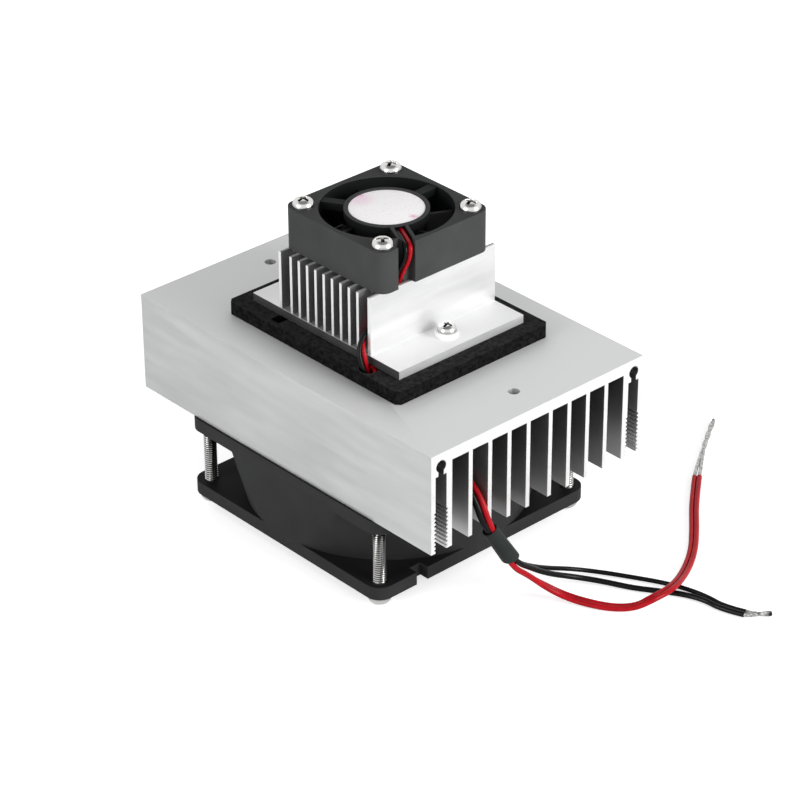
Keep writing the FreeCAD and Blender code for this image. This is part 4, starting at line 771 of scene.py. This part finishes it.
def bundle_grid(first, last, end, side):
    """One lead's strands as a grid along the pair's line and round it.

    The line is a spline from between the two leads' ends, by a stub straight on, to the
    end's points. The bundle's middle starts at its own lead, comes in to a share of the
    bundle's radius while the pair merges, by the smooth step 3 m^2 - 2 m^3, and from then
    on turns round the line once in each lay. Its skin has one low ridge for each strand,
    turning once in each strand lay, and narrows at the tip.
    """
    start = (first[-1] + last[-1]) / 2
    leave = first[-1] - first[-2]
    leave = start + leave / np.linalg.norm(leave) * STUB
    line = spline_points(nurbs_line("bundle", [start, leave, *(np.array(end) * MILLIMETRE)]))
    steps = np.concatenate([[0], np.cumsum(np.linalg.norm(np.diff(line, axis=0), axis=1))])
    along = np.linspace(0, steps[-1], int(steps[-1] / BUNDLE_STEP))
    line = np.stack([np.interp(along, steps, line[:, i]) for i in range(3)], axis=-1)
    ahead = np.gradient(line, axis=0)
    across, up = across_and_up(ahead / np.linalg.norm(ahead, axis=1, keepdims=True))
    apart = (last[-1] - first[-1]) / 2 * side
    from_line = np.linalg.norm(apart)
    merged = np.clip((along - MERGE_START) / (MERGE_SHARE * along[-1]), 0, 1)
    reach = from_line + (BUNDLE_SHARE * BUNDLE - from_line) * merged ** 2 * (3 - 2 * merged)
    past = np.clip(along - MERGE_SHARE * along[-1], 0, None)
    turn = np.arctan2(apart @ up[0], apart @ across[0]) + 2 * np.pi * past / BUNDLE_LAY
    middle = round_about(line, reach, turn, across, up)
    angle = round_angles(BUNDLE_COLUMNS)[None, :]
    ridges = np.cos(STRANDS * angle - 2 * np.pi * along[:, None] / STRAND_LAY)
    taper = 1 - TIP_TAPER * np.clip((along - along[-1] + TIP) / TIP, 0, 1) ** 2
    skin = BUNDLE * taper[:, None] * (1 + STRAND_RIDGE * ridges)
    return round_about(middle[:, None], skin, angle, across[:, None], up[:, None])


def solder_coat():
    """Tinned copper: bright, lumpy solder, duller in its hollows and scorched dark at the tips."""
    material, tree, shader, place = finish("solder_coat", (0.72, 0.71, 0.69), 0.3, 1.0)
    lumps = grain(tree, place, [0.0008] * 3, 4)
    shade = blend_colors(tree, between(tree, lumps, 0, 1), (0.2, 0.2, 0.195), (0.78, 0.78, 0.76))
    tips = [[MILLIMETRE * v for v in end[-1]] for end in BARE_ENDS.values()]
    nearest = reckon(tree, "MINIMUM", *[distance(tree, place, tip) for tip in tips])
    shade = blend_colors(tree, between(tree, nearest, 0, 1, 0.0008, 0.0022), (0.03, 0.028, 0.026), shade)
    connect(tree, shader, Base_Color=shade, Roughness=between(tree, lumps, 0.22, 0.5))
    relief(tree, shader, lumps, 0.0001, 0.6)
    return material


solder = solder_coat()


def bare_end(name, node, items):
    """The two leads' bundles, twisted together, each from its own side of the pair."""
    first, last = (spline_points(item.data) for item in items)
    grids = [(bundle_grid(first, last, BARE_ENDS[node], side), False) for side in (-1, 1)]
    return piece(name, grid_mesh(name, grids, sharp=1.2), solder, "module", node)


red_end = bare_end("red_twisted_end", "red_tinned_end", (red_fan_lead, red_module_lead))
black_end = bare_end("black_twisted_end", "black_tinned_end", (black_fan_lead, black_module_lead))

# Table, backdrop and light: a plain white table that runs on into the backdrop, a broad
# soft light from the right in front, a weaker one from the left and an even pale sky.
TABLE_SIZE, TABLE_DROP = 6, 0.0001
bpy.ops.mesh.primitive_plane_add(size=TABLE_SIZE, location=(0, 0, -TABLE_DROP))
table = bpy.context.object
table.name = "table"


def looked_at(tree):
    """1 where the camera looks, and 1 where it or a shiny piece does, or else 0: two sockets."""
    rays = add(tree, "LightPath").outputs
    return rays["Is Camera Ray"], reckon(tree, "MAXIMUM", rays["Is Camera Ray"], rays["Is Glossy Ray"])


def white_table():
    """Matte white that also shows as white where the camera or a shiny piece looks at it."""
    material, tree, shader, _ = finish("white_table", (0.8, 0.8, 0.8), 0.7)
    by_camera, by_either = looked_at(tree)
    level = between(tree, by_camera, 0.1, 0.6, 0, 1)
    glow = add(tree, "Emission", {"Color": (1, 1, 1, 1), "Strength": level}).outputs[0]
    both = add(tree, "AddShader", {0: shader.outputs[0], 1: glow}).outputs[0]
    choice = add(tree, "MixShader", {0: by_either, 1: shader.outputs[0], 2: both})
    tree.links.new(choice.outputs[0], tree.nodes["Material Output"].inputs["Surface"])
    return material


table.data.materials.append(white_table())


def pale_sky():
    """A white sky, stronger where it is looked at, and there stronger the lower it is."""
    world = bpy.data.worlds.new("studio")
    world.use_nodes = True
    sky = world.node_tree
    _, by_either = looked_at(sky)
    height = add(sky, "SeparateXYZ", {"Vector": add(sky, "TexCoord").outputs["Generated"]}).outputs[2]
    level = blend(sky, by_either, 0.5, between(sky, height, 1.0, 0.25, 0.75, 0.9))
    connect(sky, sky.nodes["Background"], Strength=level)
    sky.nodes["Background"].inputs["Color"].default_value = (1, 1, 1, 1)
    return world


bpy.context.scene.world = pale_sky()


def soft_light(name, place, aim, size, power):
    """A square area light at a place, facing the point that it is aimed at."""
    lamp = bpy.data.lights.new(name, "AREA")
    lamp.size = size
    lamp.energy = power
    item = bpy.data.objects.new(name, lamp)
    bpy.context.collection.objects.link(item)
    item.location = place
    item.rotation_euler = (Vector(aim) - Vector(place)).to_track_quat("-Z", "Y").to_euler()


LIGHT_AIM, LIGHT_SIZE = (0, 0, 0.04), 0.5
soft_light("front_light", (0.3, -0.9, 0.38), LIGHT_AIM, LIGHT_SIZE, 8.2)
soft_light("side_light", (-0.9, 0.05, 0.35), LIGHT_AIM, LIGHT_SIZE, 4.6)

# Camera: 0.9 m away, looking down on the corner where the leads come out, with a long
# lens, so that the object's edges stay nearly parallel.
CAMERA_PLACE = Vector((-0.508795, -0.565105, 0.481849))
CAMERA_FORWARD = Vector((0.57923, 0.6377, -0.50777))
CAMERA_RIGHT = Vector((0.73851, -0.67423, -0.00431))
FOCAL_PIXELS, PICTURE_PIXELS, SENSOR = 3150, 800, 36
camera_data = bpy.data.cameras.new("camera")
camera_data.sensor_width = SENSOR
camera_data.lens = FOCAL_PIXELS / PICTURE_PIXELS * SENSOR
camera = bpy.data.objects.new("camera", camera_data)
bpy.context.collection.objects.link(camera)
forward = CAMERA_FORWARD.normalized()
right = (CAMERA_RIGHT - CAMERA_RIGHT.dot(forward) * forward).normalized()
camera_axes = Matrix((right, right.cross(forward), -forward)).transposed()
camera.matrix_world = Matrix.Translation(CAMERA_PLACE) @ camera_axes.to_4x4()
bpy.context.scene.camera = camera
bpy.context.scene.view_settings.view_transform = "Standard"
